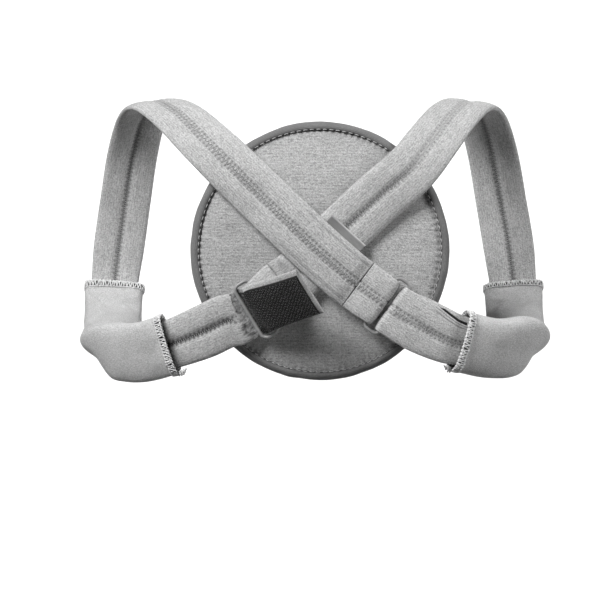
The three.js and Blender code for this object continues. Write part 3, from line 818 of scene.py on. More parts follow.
class Strap:
    """A padded strap: its course, the height of both faces, the marks sewing left, and its painted shade."""

    def __init__(self, side, sizes, ring_pitch):
        own = SIDES[side]
        sewn_ring, tail_ring = (RingFrame(RINGS[hand], ring_pitch) for hand in (-side, side))
        sewn = sewn_end(sewn_ring, own["turn"], own["sewn_slide"])
        crossing = named_rows(CROSSING_COLUMNS, own["crossing"])
        over = [on_side(row, side) for row in named_rows(SHOULDER_COLUMNS, SHOULDER_WAY)]
        for row, groove in zip(over, own["over_groove"]):
            row["groove"] = groove
        under = [{**on_side(row, side), "width": STRAP_IN_SLEEVE, "depth": depth}
                 for row, depth in zip(named_rows(SLEEVE_COLUMNS, SLEEVE_WAY), own["hollow"])]
        tail = ring_tail(own["tail"], tail_ring, own["bend"], own["bend_steps"], own["tail_slide"])
        end = [{**row, "groove": own["end_groove"]} for row in named_rows(TAIL_COLUMNS, own["end"])]
        rows = [*sewn, *crossing, *over, *under, *tail, *end]
        self.side = side
        self.sizes = sizes
        self.way = Way(rows, sizes, 1 * MM, len(sewn) - 1)
        knots = self.way.knots
        sleeve_start = len(sewn) + len(crossing) + len(over)
        self.crease = knots[len(sewn) - 1]
        middle = knots[len(sewn) + 1]
        self.edge_seam = (middle - EDGE_SEAM["before"] * MM, middle + EDGE_SEAM["beyond"] * MM)
        self.sleeve = (knots[sleeve_start], knots[sleeve_start + len(under) - 1])
        # The third row before the loose end lies in the bend round the ring's outer bar
        self.bar = knots[len(rows) - len(end) - 3]
        self.end = (knots[len(rows) - len(end)], knots[-1])
        self.seam_end = self.bar - 9 * MM if side < 0 else self.end[0] - 2 * MM
        # Both straps get painted shade in the right ring's gap: one in its bend round the bar, one before it
        self.gap_face, self.gap = (1, knots[5]) if side < 0 else (-1, self.bar - 1.9 * MM)
        self.faces = {face: self.face(face) for face in (1, -1)}

    def seam_half(self, along):
        """Half the width of the zigzag, which is narrower where the seam lies deep."""
        deep = self.way.at(along, self.way.groove) / self.sizes.groove
        return self.sizes.zigzag_width / 2 * (1 - 0.4 * np.clip(deep, 0, 1))

    def face(self, face):
        """Height of a face over the strap's middle layer, and the tone of its cloth."""
        side = StrapFace(self.way, face)
        if face > 0:
            sewn = 1 - fade(self.seam_end - 2 * MM, self.seam_end, side.along)
            self.sew_middle(side, sewn, 1 if self.side < 0 else self.seam_shade(side))
            self.sew_loop(side)
        else:
            self.sew_middle(side, 1, self.seam_shade(side))
        if face > 0 and self.side < 0:
            self.sew_edges(side)
            self.press_pile(side)
            self.sew_end(side)
        if face < 0 and self.side > 0:
            self.sew_fold(side)
        if face == self.gap_face:
            # Painted shade deep in the right ring's gap
            side.tone = side.tone - 0.97 * self.in_gap(side.along, 1.8 * MM)
        height = np.maximum(side.height, 0.05 * MM * side.rounded)
        return {"height": height, "tone": np.clip(side.tone, 0.03, 1)}

    def in_gap(self, along, reach):
        """How deep in the ring's shaded gap the strap is, as a share; the painted shade there follows it."""
        return np.exp(-(((along - self.gap) / reach) ** 4))

    def seam_shade(self, side):
        """How dark the seam's painted shade is, as a share: fine up to the sleeve and dark from there on."""
        return 0.72 + 0.28 * fade(self.sleeve[1] - 12 * MM, self.sleeve[1], side.along)

    def sew_middle(self, side, sewn, dark):
        """Zigzag seam: needle pits in three ranks, puckers between them, painted shade in pits and groove.
        """
        sizes = self.sizes
        half = self.seam_half(side.along)
        deep = np.clip(self.way.groove[:, None] / sizes.groove, 0, 1)
        pit_size, pit_depth, pit_shade, groove_shade = 0.95 * MM, 0.5 * MM, 0.78, 0.35
        # Painted shade along the seam's groove where it lies deep
        side.tone = side.tone - groove_shade * sewn * dark * deep ** 2 * ridge(side.wide, 0.07)
        for rank, lag in ((1, 0), (-1, 0.5), (0, 0.25), (0, 0.75)):
            turn = side.along / sizes.zigzag - lag
            beside = (turn - np.round(turn)) * sizes.zigzag
            far = beside ** 2 + (side.across - rank * half) ** 2
            pit = sewn * np.exp(-far / pit_size ** 2) * (1 if rank else fade(0.5, 0.8, deep))
            side.height = side.height - pit_depth * pit
            # Painted shade in each needle pit
            side.tone = side.tone - pit_shade * dark * pit
        pucker = np.cos(side.along / sizes.zigzag * 2 * math.tau)
        pucker = pucker * ridge(np.abs(side.wide) - 0.24, 0.09)
        side.height = side.height + 0.14 * MM * sewn * pucker

    def sew_loop(self, side):
        """The loop round the ring ends in a sewn edge a little proud, with painted shade in the dip past it.
        """
        loop = 1 - fade(self.crease - 0.35 * MM, self.crease + 0.1 * MM, side.along)
        swell = ridge(self.crease - side.along, 9 * MM)
        side.height = side.height + 0.8 * MM * loop * swell * side.rounded
        gap = ridge(side.along - self.crease - 0.25 * MM, 0.45 * MM)
        side.height = side.height - 0.7 * MM * gap * side.rounded
        # Painted shade in the dip past the crease
        side.tone = side.tone - (0.8 if self.side < 0 else 0.5) * gap

    def sew_edges(self, side):
        """Straight seams along both edges, from the loop to just past the crossing."""
        offset, pitch = EDGE_SEAM["offset"] * MM, EDGE_SEAM["pitch"] * MM
        first, last = self.edge_seam
        run = fade(first - 1 * MM, first + 1 * MM, side.along) * (1 - fade(last, last + 2 * MM, side.along))
        for rank in (1, -1):
            line = run * ridge(side.across - rank * offset, 0.7 * MM)
            side.height = side.height - 0.5 * MM * line
            side.tone = side.tone - 0.35 * line * (0.7 + 0.3 * np.cos(side.along / pitch * math.tau))

    def sew_end(self, side):
        """A fine seam across the open end, just beyond the hook patch."""
        line = ridge(self.end[1] - 1.3 * MM - side.along, 0.4 * MM)
        side.height = side.height - 0.4 * MM * line * side.rounded
        side.tone = side.tone - 0.6 * line

    def sew_fold(self, side):
        """Two fine lines along the upper edge of the end that is folded back."""
        run = fade(self.end[0] + 2 * MM, self.end[0] + 6 * MM, side.along)
        for part in (0.92, 0.8):
            line = run * ridge(side.wide - part, 0.025)
            side.height = side.height - 0.35 * MM * line
            side.tone = side.tone - 0.6 * line

    def press_pile(self, side):
        """The nap pressed flat and dull where the ring has worn it, with a ragged edge."""
        ragged = 1.6 * MM * ripple(side.cloth, (4 * MM, 1.3 * MM, 1), 9)
        pressed = fade(-0.8 * MM, 0.8 * MM, side.along - self.bar + 9.5 * MM + ragged)
        pressed = pressed * (1 - fade(self.end[0] - 2 * MM, self.end[0], side.along))
        fibres = ripple(side.cloth, (1.5 * MM, 1.1 * MM, 1), 14)
        side.height = side.height - 0.5 * MM * pressed * side.rounded
        side.tone = side.tone - pressed * (0.6 + 0.36 * fibres)

    def spot(self, along, across, face, lift):
        """Points a little over one of the strap's faces."""
        way = self.way
        row = np.interp(along, way.along, np.arange(len(way.along)))
        part = np.asarray(across) / (way.at(along, way.width) / 2)
        column = np.interp(part, SHARES, np.arange(len(SHARES)))
        height = between_cells(self.faces[face]["height"], row, column)
        return way.spot(along, across, face * (height + lift))

    def mesh(self):
        """The strap's closed skin: points, faces, and the cloth's own place and tone at each point."""
        way = self.way
        inner, outer = self.faces[-1], self.faces[1]
        back = slice(-2, 0, -1)
        wide = np.concatenate([SHARES, SHARES[back]])[None, :] * way.width[:, None] / 2
        out = np.concatenate([-inner["height"], outer["height"][:, back]], axis=1)
        tone = np.concatenate([inner["tone"], outer["tone"][:, back]], axis=1)
        along = np.broadcast_to(way.along[:, None], wide.shape)
        points = (way.point[:, None] + way.across[:, None] * wide[..., None]
                  + way.out[:, None] * out[..., None])
        rows, columns = wide.shape
        faces = band_faces(rows, columns)
        faces.append(list(range(columns)))
        faces.append(list(range(rows * columns - 1, (rows - 1) * columns - 1, -1)))
        cloth = np.stack([along, wide, out], axis=-1)
        return points.reshape(-1, 3), faces, cloth.reshape(-1, 3), tone.ravel()

    def zigzag(self, face, start, end):
        """The path of the middle seam's thread on one face."""
        step = self.sizes.zigzag / 2
        ranks = np.arange(math.ceil(start / step), math.floor(end / step))
        corner_along = ranks * step
        corner_across = np.where(ranks % 2 == 0, 1, -1) * self.seam_half(corner_along)
        fine = np.linspace(0, len(ranks) - 1, (len(ranks) - 1) * 4 + 1)
        along = np.interp(fine, np.arange(len(ranks)), corner_along)
        across = np.interp(fine, np.arange(len(ranks)), corner_across)
        dip = np.abs(np.cos(fine * math.pi)) ** 4
        sunk = fade(0.4, 0.7, self.way.at(along, self.way.groove) / self.sizes.groove)
        if face == self.gap_face:
            sunk = sunk + 4 * self.in_gap(along, 4 * MM)
        return self.spot(along, across, face, (0.38 - 1.2 * dip - 0.5 * sunk) * MM)

    def stitched_line(self, face, start, end, across, pitch):
        """Short straight stitches along the strap."""
        paths = []
        for from_here in np.arange(start, end, pitch):
            along = from_here + pitch * np.array((0, 0.15, 0.4, 0.65, 0.8))
            lift = np.array((-0.3, 0.12, 0.2, 0.12, -0.3)) * MM
            paths.append(self.spot(along, np.full(5, across), face, lift))
        return paths


def between_cells(grid, row, column):
    """Values of a grid at fractional rows and columns."""
    r = np.clip(np.floor(row).astype(int), 0, grid.shape[0] - 2)
    c = np.clip(np.floor(column).astype(int), 0, grid.shape[1] - 2)
    fr, fc = row - r, column - c
    top = grid[r, c] * (1 - fc) + grid[r, c + 1] * fc
    low = grid[r + 1, c] * (1 - fc) + grid[r + 1, c + 1] * fc
    return top * (1 - fr) + low * fr


def both_straps(scene):
    """The left and the right strap, as their sizes stand."""
    pitch = scene.brace_rings.pitch / MM
    return {"left": Strap(-1, scene.brace_straps, pitch), "right": Strap(1, scene.brace_straps, pitch)}


# Operators

class BRACE_OT_stage(bpy.types.Operator):
    """Set up the camera, the pale floor with its backdrop, and soft studio light"""
    bl_idname = "brace.stage"
    bl_label = "Stage"

    def execute(self, context):
        scene = context.scene
        camera = bpy.data.objects.new("camera", bpy.data.cameras.new("camera"))
        camera.data.sensor_width = CAMERA["sensor"]
        camera.data.lens = CAMERA["lens"]
        camera.data.clip_end = CAMERA["reach"]
        camera.location = CAMERA["place"]
        camera.rotation_euler = (math.radians(90), 0, 0)
        scene.collection.objects.link(camera)
        scene.camera = camera
        scene.view_settings.view_transform = "Standard"
        self.add_backdrop(scene)
        for light in LIGHTS:
            self.add_light(scene, *light)
        world = bpy.data.worlds.new("studio")
        world.use_nodes = True
        background = world.node_tree.nodes["Background"]
        background.inputs["Color"].default_value = (1, 1, 1, 1)
        background.inputs["Strength"].default_value = SURROUND
        scene.world = world
        return {"FINISHED"}

    @staticmethod
    def add_backdrop(scene):
        """A pale floor that rounds up into a wall."""
        floor, wall, radius = BACKDROP["floor"], BACKDROP["wall"], BACKDROP["radius"]
        profile = [(BACKDROP["front"], floor)]
        for angle in np.radians(np.linspace(0, 90, 13)):
            y, z = wall - radius + radius * math.sin(angle), floor + radius * (1 - math.cos(angle))
            profile.append((y, z))
        profile.append((wall, BACKDROP["top"]))
        points = [(x, y, z) for y, z in profile for x in (-BACKDROP["half"], BACKDROP["half"])]
        faces = [(2 * i, 2 * i + 1, 2 * i + 3, 2 * i + 2) for i in range(len(profile) - 1)]
        base = scene.brace_colours.backdrop
        finish = Finish("pale_backdrop", Roughness=0.9, Base_Color=(*base, 1), Specular_IOR_Level=0.1)
        add_piece("backdrop", points, faces, finish.material)

    @staticmethod
    def add_light(scene, name, place, target, size, power, spread):
        """A round soft light, aimed at its target."""
        light = bpy.data.objects.new(name, bpy.data.lights.new(name, "AREA"))
        light.data.shape = "DISK"
        light.data.size = size
        light.data.energy = power
        light.data.spread = math.radians(spread)
        light.location = place
        light.rotation_euler = (Vector(target) - Vector(place)).to_track_quat("-Z", "Y").to_euler()
        scene.collection.objects.link(light)


def tape_start(sizes):
    """Radius of the inner edge of the pad's binding."""
    return sizes.radius - sizes.tape_width


def stitch_count(sizes):
    """Number of the stitches that hold the pad's binding."""
    return round(math.tau * tape_start(sizes) / sizes.stitch)


class BRACE_OT_back_pad(bpy.types.Operator):
    """Make the round pad as a filled cushion that the straps press on"""
    bl_idname = "brace.back_pad"
    bl_label = "Back pad"

    def execute(self, context):
        sizes = context.scene.brace_pad
        rings, sides = 34, 128
        radius, depth = self.profile(sizes, rings)
        angle = np.arange(sides) / sides * math.tau
        x = radius[:, None] * np.cos(angle)
        z = radius[:, None] * np.sin(angle)
        y = np.broadcast_to(depth[:, None], x.shape) + sizes.bow * (z / sizes.radius) ** 2
        points = np.stack([x, y, z], axis=-1).reshape(-1, 3)
        poles = np.array([(0, depth[0], 0), (0, depth[-1], 0)])
        points = np.concatenate([points, poles])
        rows = len(radius)
        faces = band_faces(rows, sides)
        front, back = rows * sides, rows * sides + 1
        last = (rows - 1) * sides
        for k in range(sides):
            after = (k + 1) % sides
            faces.append((front, k, after))
            faces.append((back, last + after, last + k))
        flat = np.hypot(points[:, 0], points[:, 2])
        held = (flat > tape_start(sizes) - 0.6 * MM) | (points[:, 1] > -2.5 * MM)
        points = puffed("pad_filling", points, faces, held, pressure=5, most=sizes.swell)
        finish = brushed_cloth("pad_cloth", context.scene.brace_colours.pad, Finish.object_place,
                               (4 * MM, 1.2 * MM, 1 * MM), "Z", 2.2 * MM)
        pad = add_piece("pad_cushion", points, faces, finish)
        rounder = pad.modifiers.new("rounder", "SUBSURF")
        rounder.levels = rounder.render_levels = 2
        mesh = bpy.data.meshes.new_from_object(pad.evaluated_get(context.evaluated_depsgraph_get()))
        pad.modifiers.clear()
        pad.data = mesh
        self.sew(mesh, sizes, both_straps(context.scene))
        ready(pad, "pad_cloth", "back_pad", fill=0.7)
        return {"FINISHED"}

    @staticmethod
    def profile(sizes, rings):
        """Radius and depth from the middle of the outer face, round the edge, to the inner face."""
        start = tape_start(sizes)
        edge_in = -(sizes.tape_thickness + 0.3 * MM)
        edge_out = edge_in - sizes.edge
        centre = sizes.radius - sizes.tape_thickness - 0.3 * MM - sizes.edge / 2
        part = np.linspace(0.03, 1, rings)
        swell = edge_out - (sizes.crown + edge_out) * np.sqrt(1 - part ** 6)
        turn = np.radians(np.linspace(-75, 75, 7))
        edge_radius = centre + sizes.edge / 2 * np.cos(turn)
        edge_depth = (edge_in + edge_out) / 2 + sizes.edge / 2 * np.sin(turn)
        # The inner face is flat, so it needs few rows
        back_part = np.array((1, 0.965, 0.93, 0.6, 0.03))
        back_depth = edge_in * fade(0.93, 1, back_part)
        radius = np.concatenate([part * start, edge_radius, back_part * start])
        return radius, np.concatenate([swell, edge_depth, back_depth])

    @staticmethod
    def sew(mesh, sizes, straps):
        """Draws the cloth in at the binding's stitches, presses it under the straps and raises its nap."""
        place = np.empty(len(mesh.vertices) * 3, np.float32)
        mesh.vertices.foreach_get("co", place)
        place = place.reshape(-1, 3).astype(float)
        outside = place[:, 1] < -4 * MM
        flat = np.hypot(place[:, 0], place[:, 2])
        angle = np.arctan2(place[:, 2], place[:, 0])
        start = tape_start(sizes)
        stitches = stitch_count(sizes)
        near = np.exp(-np.abs(flat - start + 1.2 * MM) / (2.6 * MM)) * outside
        drawn = near * (0.5 + 0.5 * np.cos(angle * stitches))
        streak = ripple(place, (8 * MM, 1, 1.9 * MM), 2)
        soft = ripple(place, (18 * MM, 1, 13 * MM), 4)
        inner = 1 - fade(start - 5 * MM, start, flat)
        place[:, 1] += outside * (0.7 * MM * drawn - (0.1 * MM * streak + 0.25 * MM * soft) * inner)
        for strap in straps.values():
            press(place, strap, outside)
        mesh.vertices.foreach_set("co", place.astype(np.float32).ravel())
        # Painted shade where the cloth is drawn in by the binding, deepest where it is drawn in most
        tone = 1 - 0.3 * near * (0.65 + 0.35 * np.cos(angle * stitches))
        layer = mesh.attributes.new("tone", "FLOAT", "POINT")
        layer.data.foreach_set("value", tone.astype(np.float32))
        mesh.update()


def press(place, strap, allowed):
    """Moves points inwards where they would reach into a strap that lies on them."""
    way = strap.way
    pad_reach, deepest, clearance, most = 125 * MM, 5 * MM, 0.25 * MM, 5 * MM
    use = (np.hypot(way.point[:, 0], way.point[:, 2]) < pad_reach) & (way.point[:, 1] < deepest)
    frames = np.nonzero(use)[0]
    for chunk in np.array_split(np.nonzero(allowed)[0], 24):
        apart = place[chunk][:, None, :] - way.point[frames][None, :, :]
        flat = np.abs(np.einsum("ijk,jk->ij", apart, way.ahead[frames]))
        aside = np.einsum("ijk,jk->ij", apart, way.across[frames])
        reach = way.width[frames] / 2
        covers = (flat < 0.9 * MM) & (np.abs(aside) < reach * 1.02)
        part = np.clip(np.abs(aside) / reach, 0, 1)
        inside = np.sqrt(1 - part ** 4) * way.thickness[frames] / 2
        depth = way.point[frames][None, :, 1] + inside + clearance
        lowest = np.where(covers, depth, -np.inf).max(axis=1)
        place[chunk, 1] = np.maximum(place[chunk, 1], np.minimum(lowest, place[chunk, 1] + most))


class BRACE_OT_pad_binding(bpy.types.Operator):
    """Make the knitted tape round the pad's edge, with the stitches that hold it"""
    bl_idname = "brace.pad_binding"
    bl_label = "Pad binding"

    def execute(self, context):
        sizes, colours = context.scene.brace_pad, context.scene.brace_colours
        stitches = stitch_count(sizes)
        finish = knit_tape("binding_knit", colours.binding)
        ready(self.add_tape(sizes, stitches, finish), "edge_tape", "pad_binding")
        paths = [self.stitch_path(sizes, k, stitches) for k in range(stitches)]
        thread = sewing_thread("binding_thread", scaled_colour(colours.binding, 2.6))
        ready(add_thread("pad_edge_stitches", paths, 0.35 * MM, 6, thread), "edge_tape")
        return {"FINISHED"}

    @staticmethod
    def fold_sizes(sizes):
        """Radii of the fold's inner and outer skin, and the radius and depth of the middle of the fold."""
        inside = sizes.edge / 2 + 0.3 * MM
        outside = inside + sizes.tape_thickness
        return inside, outside, sizes.radius - outside, -outside

    @staticmethod
    def skin(start, centre, middle, reach):
        """Radius and depth along one skin of the folded tape, from the outer face round to the inner."""
        lip = np.linspace(start, centre, 5)
        turn = np.radians(np.linspace(-90, 90, 25))[1:-1]
        radius = np.concatenate([lip, centre + reach * np.cos(turn), lip[::-1]])
        depth = np.concatenate([np.full(5, middle - reach), middle + reach * np.sin(turn),
                                np.full(5, middle + reach)])
        return radius, depth

    @classmethod
    def add_tape(cls, sizes, stitches, finish):
        """The folded tape, its outer face's edge sunk, drawn in at every stitch and given painted shade."""
        inside, outside, centre, middle = cls.fold_sizes(sizes)
        start = tape_start(sizes)
        sides = stitches * 8
        angle = np.arange(sides) / sides * math.tau
        drawn = (0.5 + 0.5 * np.cos(angle * stitches))[:, None]
        outer_radius, outer_depth = cls.skin(start, centre, middle, outside)
        inner_radius, inner_depth = cls.skin(start, centre, middle, inside)
        radius = np.concatenate([outer_radius, inner_radius[::-1]])[None, :]
        depth = np.concatenate([outer_depth, inner_depth[::-1]])[None, :]
        girth = np.concatenate([[0], np.cumsum(np.hypot(np.diff(radius[0]), np.diff(depth[0])))])[None, :]
        edge = ridge(radius - start, 0.9 * MM) * (depth < middle)
        front = np.zeros_like(depth)
        front[0, :len(outer_depth)] = 1
        place = np.stack(np.broadcast_arrays(angle[:, None] * centre, girth, 0.0), axis=-1)
        soft = ripple(place, (9 * MM, 5 * MM, 1), 8) * front
        spread = 1 + soft * 0.3 * MM / outside
        radius = centre + (radius - centre) * spread - edge * 0.6 * MM * (1 - drawn)
        sunk = 0.9 * MM * (1 - np.clip((radius - start) / (3.6 * MM), 0, 1)) ** 2 * (depth < middle) * front
        depth = middle + (depth - middle) * spread + sunk + edge * front * 0.15 * MM * drawn
        # Painted shade along the sunk edge
        tone = 1 - 0.8 * edge * (0.75 + 0.25 * drawn)
        x = radius * np.cos(angle)[:, None]
        z = radius * np.sin(angle)[:, None]
        y = depth + sizes.bow * (z / sizes.radius) ** 2
        points = np.stack([x, y, z], axis=-1)
        faces = [face[::-1] for face in band_faces(sides, points.shape[1], wrap_rows=True)]
        return add_piece("pad_edge_tape", points.reshape(-1, 3), faces, finish,
                         cloth=place.reshape(-1, 3), tone=np.broadcast_to(tone, x.shape).ravel())

    @classmethod
    def stitch_path(cls, sizes, k, stitches):
        """One stitch along the tape's sunk edge; its ends go down into the tape."""
        _, outside, _, middle = cls.fold_sizes(sizes)
        turn = (k + np.array((0.18, 0.28, 0.5, 0.72, 0.82))) / stitches * math.tau
        across = tape_start(sizes) + np.array((0.1, 0.2, 0.3, 0.2, 0.1)) * MM
        down = np.array((1.6, 0.6, 0.4, 0.6, 1.6)) * MM
        x, z = across * np.cos(turn), across * np.sin(turn)
        y = middle - outside + down + sizes.bow * (z / sizes.radius) ** 2
        return np.stack([x, y, z], axis=-1)


class BRACE_OT_straps(bpy.types.Operator):
    """Make both padded straps with their zigzag seams and sewn ends"""
    bl_idname = "brace.straps"
    bl_label = "Straps"

    def execute(self, context):
        scene = context.scene
        sizes, colours = scene.brace_straps, scene.brace_colours
        cloth_finish = brushed_cloth("strap_cloth", colours.strap, Finish.cloth_place,
                                     (3.6 * MM, 1 * MM, 1 * MM), "Y", 1.8 * MM)
        thread = sewing_thread("strap_thread", colours.thread)
        for hand, strap in both_straps(scene).items():
            points, faces, cloth, tone = strap.mesh()
            piece = add_piece(f"strap_{hand}_cloth", points, faces, cloth_finish, cloth=cloth, tone=tone)
            ready(piece, "strap_cloth", f"strap_{hand}", fill=0.8)
            total = strap.way.along[-1]
            paths = [strap.zigzag(-1, 24 * MM, total - 5 * MM),
                     strap.zigzag(1, 24 * MM, strap.seam_end - 1 * MM)]
            if hand == "left":
                offset, pitch = EDGE_SEAM["offset"] * MM, EDGE_SEAM["pitch"] * MM
                for across in (offset, -offset):
                    paths += strap.stitched_line(1, *strap.edge_seam, across, pitch)
            ready(add_thread(f"strap_{hand}_seams", paths, sizes.thread, 5, thread), "strap_cloth")
        return {"FINISHED"}


class BRACE_OT_sleeves(bpy.types.Operator):
    """Make the puffed underarm sleeves, with overlocked mouths"""
    bl_idname = "brace.sleeves"
    bl_label = "Sleeves"

    def execute(self, context):
        scene = context.scene
        sizes, colours = scene.brace_sleeves, scene.brace_colours
        finish = jersey("sleeve_jersey", colours.sleeve)
        thread = sewing_thread("overlock_thread", colours.overlock)
        for hand, strap in both_straps(scene).items():
            grid, cloth = self.skin(strap, sizes, hand)
            normal = self.normals(grid)
            rows, sides = grid.shape[:2]
            inner = grid - normal * sizes.wall
            points = np.concatenate([grid.reshape(-1, 3), inner.reshape(-1, 3)])
            faces = self.tube_faces(rows, sides)
            from_mouth = np.minimum(cloth[..., 0] - cloth[0, 0, 0], cloth[-1, 0, 0] - cloth[..., 0])
            hem = 1 - fade(sizes.overlock_reach * 0.7, sizes.overlock_reach * 1.2, from_mouth)
            # Painted shade on the cloth under the overlock at each mouth; the inner skin is darker all over
            tone = np.concatenate([1 - 0.85 * hem.ravel(), np.full(rows * sides, 0.6)])
            places = np.concatenate([cloth.reshape(-1, 3), cloth.reshape(-1, 3)])
            piece = add_piece(f"sleeve_{hand}_jersey", points, faces, finish, cloth=places, tone=tone)
            ready(piece, "sleeve_knit", f"sleeve_{hand}", fill=0.5)
            paths = []
            for mouth in ("front", "back"):
                paths += self.overlock(grid, normal, sizes, mouth)
            paths += self.loose_tail(grid, normal)
            ready(add_thread(f"sleeve_{hand}_overlock", paths, sizes.thread, 6, thread), "sleeve_knit")
        return {"FINISHED"}

    @staticmethod
    def skin(strap, sizes, hand):
        """The sleeve's outer face as rows of points, and the cloth's own place at each."""
        way = strap.way
        start, end = strap.sleeve
        along = np.linspace(start, end, int((end - start) / (1.6 * MM)))
        sides = 76
        angle = np.arange(sides) / sides * math.tau
        flare = 1.3 * MM * (1 - fade(0, 9 * MM, end - along))
        half_depth = way.at(along, way.depth) / 2 + flare
        middle = half_depth - way.at(along, way.thickness) / 2 - HOLLOW_GAP * MM
        round_cos = np.sign(np.cos(angle)) * np.abs(np.cos(angle)) ** 0.66
        round_sin = np.sign(np.sin(angle)) * np.abs(np.sin(angle)) ** 0.66
        across = np.broadcast_to(sizes.width / 2 * round_cos, (len(along), sides))
        out = middle[:, None] + (half_depth[:, None] + sizes.wall) * round_sin
        grid = way.spot(np.broadcast_to(along[:, None], across.shape), across, out)
        cloth = np.stack(np.broadcast_arrays(along[:, None], across, out), axis=-1)
        held = np.zeros(grid.shape[:2], bool)
        held[:2] = held[-2:] = True
        faces = band_faces(*grid.shape[:2])
        flat = puffed(f"sleeve_{hand}_filling", grid.reshape(-1, 3), faces, held.ravel(),
                      pressure=6, most=sizes.swell)
        grid = flat.reshape(grid.shape)
        soft = ripple(cloth, (12 * MM, 10 * MM, 10 * MM), 6)
        normal = BRACE_OT_sleeves.normals(grid)
        return grid + normal * (0.35 * MM * soft)[..., None], cloth

    @staticmethod
    def normals(grid):
        """The way out of the sleeve at each of its points."""
        ahead = np.gradient(grid, axis=0)
        around = np.roll(grid, -1, axis=1) - np.roll(grid, 1, axis=1)
        return unit(np.cross(ahead, around))

    @staticmethod
    def tube_faces(rows, sides):
        """Outer and inner skin joined by a rim at each mouth."""
        base = rows * sides
        skin = band_faces(rows, sides)
        faces = skin + [[base + v for v in face[::-1]] for face in skin]
        last = (rows - 1) * sides
        for k in range(sides):
            after = (k + 1) % sides
            faces.append([k, after, base + after, base + k])
            faces.append([last + after, last + k, base + last + k, base + last + after])
        return faces

    @staticmethod
    def on_skin(grid, normal, row, column, lift):
        """Points over the sleeve at fractional rows and columns; a row below 0 lies off the edge."""
        sides = grid.shape[1]
        column = np.mod(column, sides)
        c = np.floor(column).astype(int)
        part = (column - c)[:, None]
        r = np.clip(np.floor(row).astype(int), 0, len(grid) - 2)
        step = (row - r)[:, None]

        def mixed(values):
            here = values[r, c] * (1 - part) + values[r, (c + 1) % sides] * part
            ahead = values[r + 1, c] * (1 - part) + values[r + 1, (c + 1) % sides] * part
            return here + (ahead - here) * step

        return mixed(grid) + unit(mixed(normal)) * lift[:, None]

    @classmethod
    def overlock(cls, grid, normal, sizes, mouth):
        """Thread that wraps over a mouth's edge, the line of stitches inside it, and the edge's chain."""
        if mouth == "back":
            grid, normal = grid[::-1], normal[::-1]
        sides = grid.shape[1]
        rim = np.cumsum(np.linalg.norm(np.roll(grid[0], -1, axis=0) - grid[0], axis=1))
        count = round(rim[-1] / sizes.overlock)

        def column_at(stitch):
            places = np.mod(stitch, count) * rim[-1] / count
            return np.interp(places, np.concatenate([[0], rim]), np.arange(sides + 1))

        reach = sizes.overlock_reach / np.linalg.norm(grid[1, 0] - grid[0, 0])
        part = np.array((0, 0.12, 0.3, 0.42, 0.5, 0.58, 0.7, 0.88))
        row = np.array((1, 0.75, 0.15, -0.22, 0.3, -0.22, 0.15, 0.75)) * reach
        lift = np.array((0.1, 0.55, 0.75, 0.1, -2.4, 0.1, 0.75, 0.55)) * MM
        stitch = (np.arange(count)[:, None] + part).ravel()
        uneven = np.repeat(ripple(np.stack([np.arange(count) * 1.0] * 3, axis=-1), 1, 21), len(part))
        wraps = cls.on_skin(grid, normal, np.tile(row, count) * (1 + 0.22 * uneven),
                            column_at(stitch + 0.3 * uneven), np.tile(lift, count) * (1 + 0.4 * uneven))
        fine = np.arange(count * 6) / 6
        chain = cls.on_skin(grid, normal, -0.16 * reach + 0.1 * reach * np.sin(fine * math.tau),
                            column_at(fine), (0.15 + 0.4 * np.cos(fine * math.tau)) * MM)
        quarter = np.arange(count * 4) / 4
        line = cls.on_skin(grid, normal, np.full(count * 4, reach * 0.92), column_at(quarter),
                           (0.2 + 0.3 * np.cos(quarter * math.tau)) * MM)
        return [np.concatenate([path, path[:1]]) for path in (wraps, chain, line)]

    @staticmethod
    def loose_tail(grid, normal):
        """The tangle of chained thread left at the lowest point of the back mouth."""
        lowest = int(np.argmin(grid[-1, :, 2]))
        root = grid[-1, lowest] + normal[-1, lowest] * 0.4 * MM
        onwards = unit(grid[-1, lowest] - grid[-4, lowest])
        sideways = unit(np.cross(onwards, (0, 1, 0)))
        fine = np.linspace(0, 1, 60)[:, None]
        size = 2.3 * MM * np.sin(np.clip(fine * 1.1, 0, 1) * math.pi) ** 0.5
        paths = []
        for start, turns in ((0, 4.5), (2, 3.6), (4, 5.2)):
            axis = root + onwards * 8 * MM * fine + np.array((0, -3, 2.2)) * MM * fine ** 2
            turn = fine * math.tau * turns + start
            wander = 0.6 + 0.4 * np.sin(fine * 9 + start)
            loops = sideways * np.cos(turn) + np.array((0, -1, 0)) * np.sin(turn)
            paths.append(axis + size * wander * loops)
        return paths


class BRACE_OT_rings(bpy.types.Operator):
    """Mould the two rectangular rings"""
    bl_idname = "brace.rings"
    bl_label = "Rings"

    def execute(self, context):
        sizes = context.scene.brace_rings
        finish = moulded_plastic("ring_plastic", context.scene.brace_colours.ring)
        tree = ring_tree()
        for hand, side in (("left", -1), ("right", 1)):
            ring = RingFrame(RINGS[side], sizes.pitch / MM)
            piece = add_piece(f"ring_{hand}_moulding", [(0, 0, 0)], (), finish)
            grow(piece, tree, Length=sizes.length, Pitch=sizes.pitch, Corner=sizes.corner,
                 Bar=sizes.bar, Finish=finish)
            facing = np.cross(ring.away, ring.along)
            turned = Matrix(np.stack([ring.away, ring.along, facing], axis=1).tolist()).to_4x4()
            piece.data.transform(Matrix.Translation(Vector(ring.middle * MM)) @ turned)
            ready(piece, "ring_plastic", f"ring_{hand}")
        return {"FINISHED"}


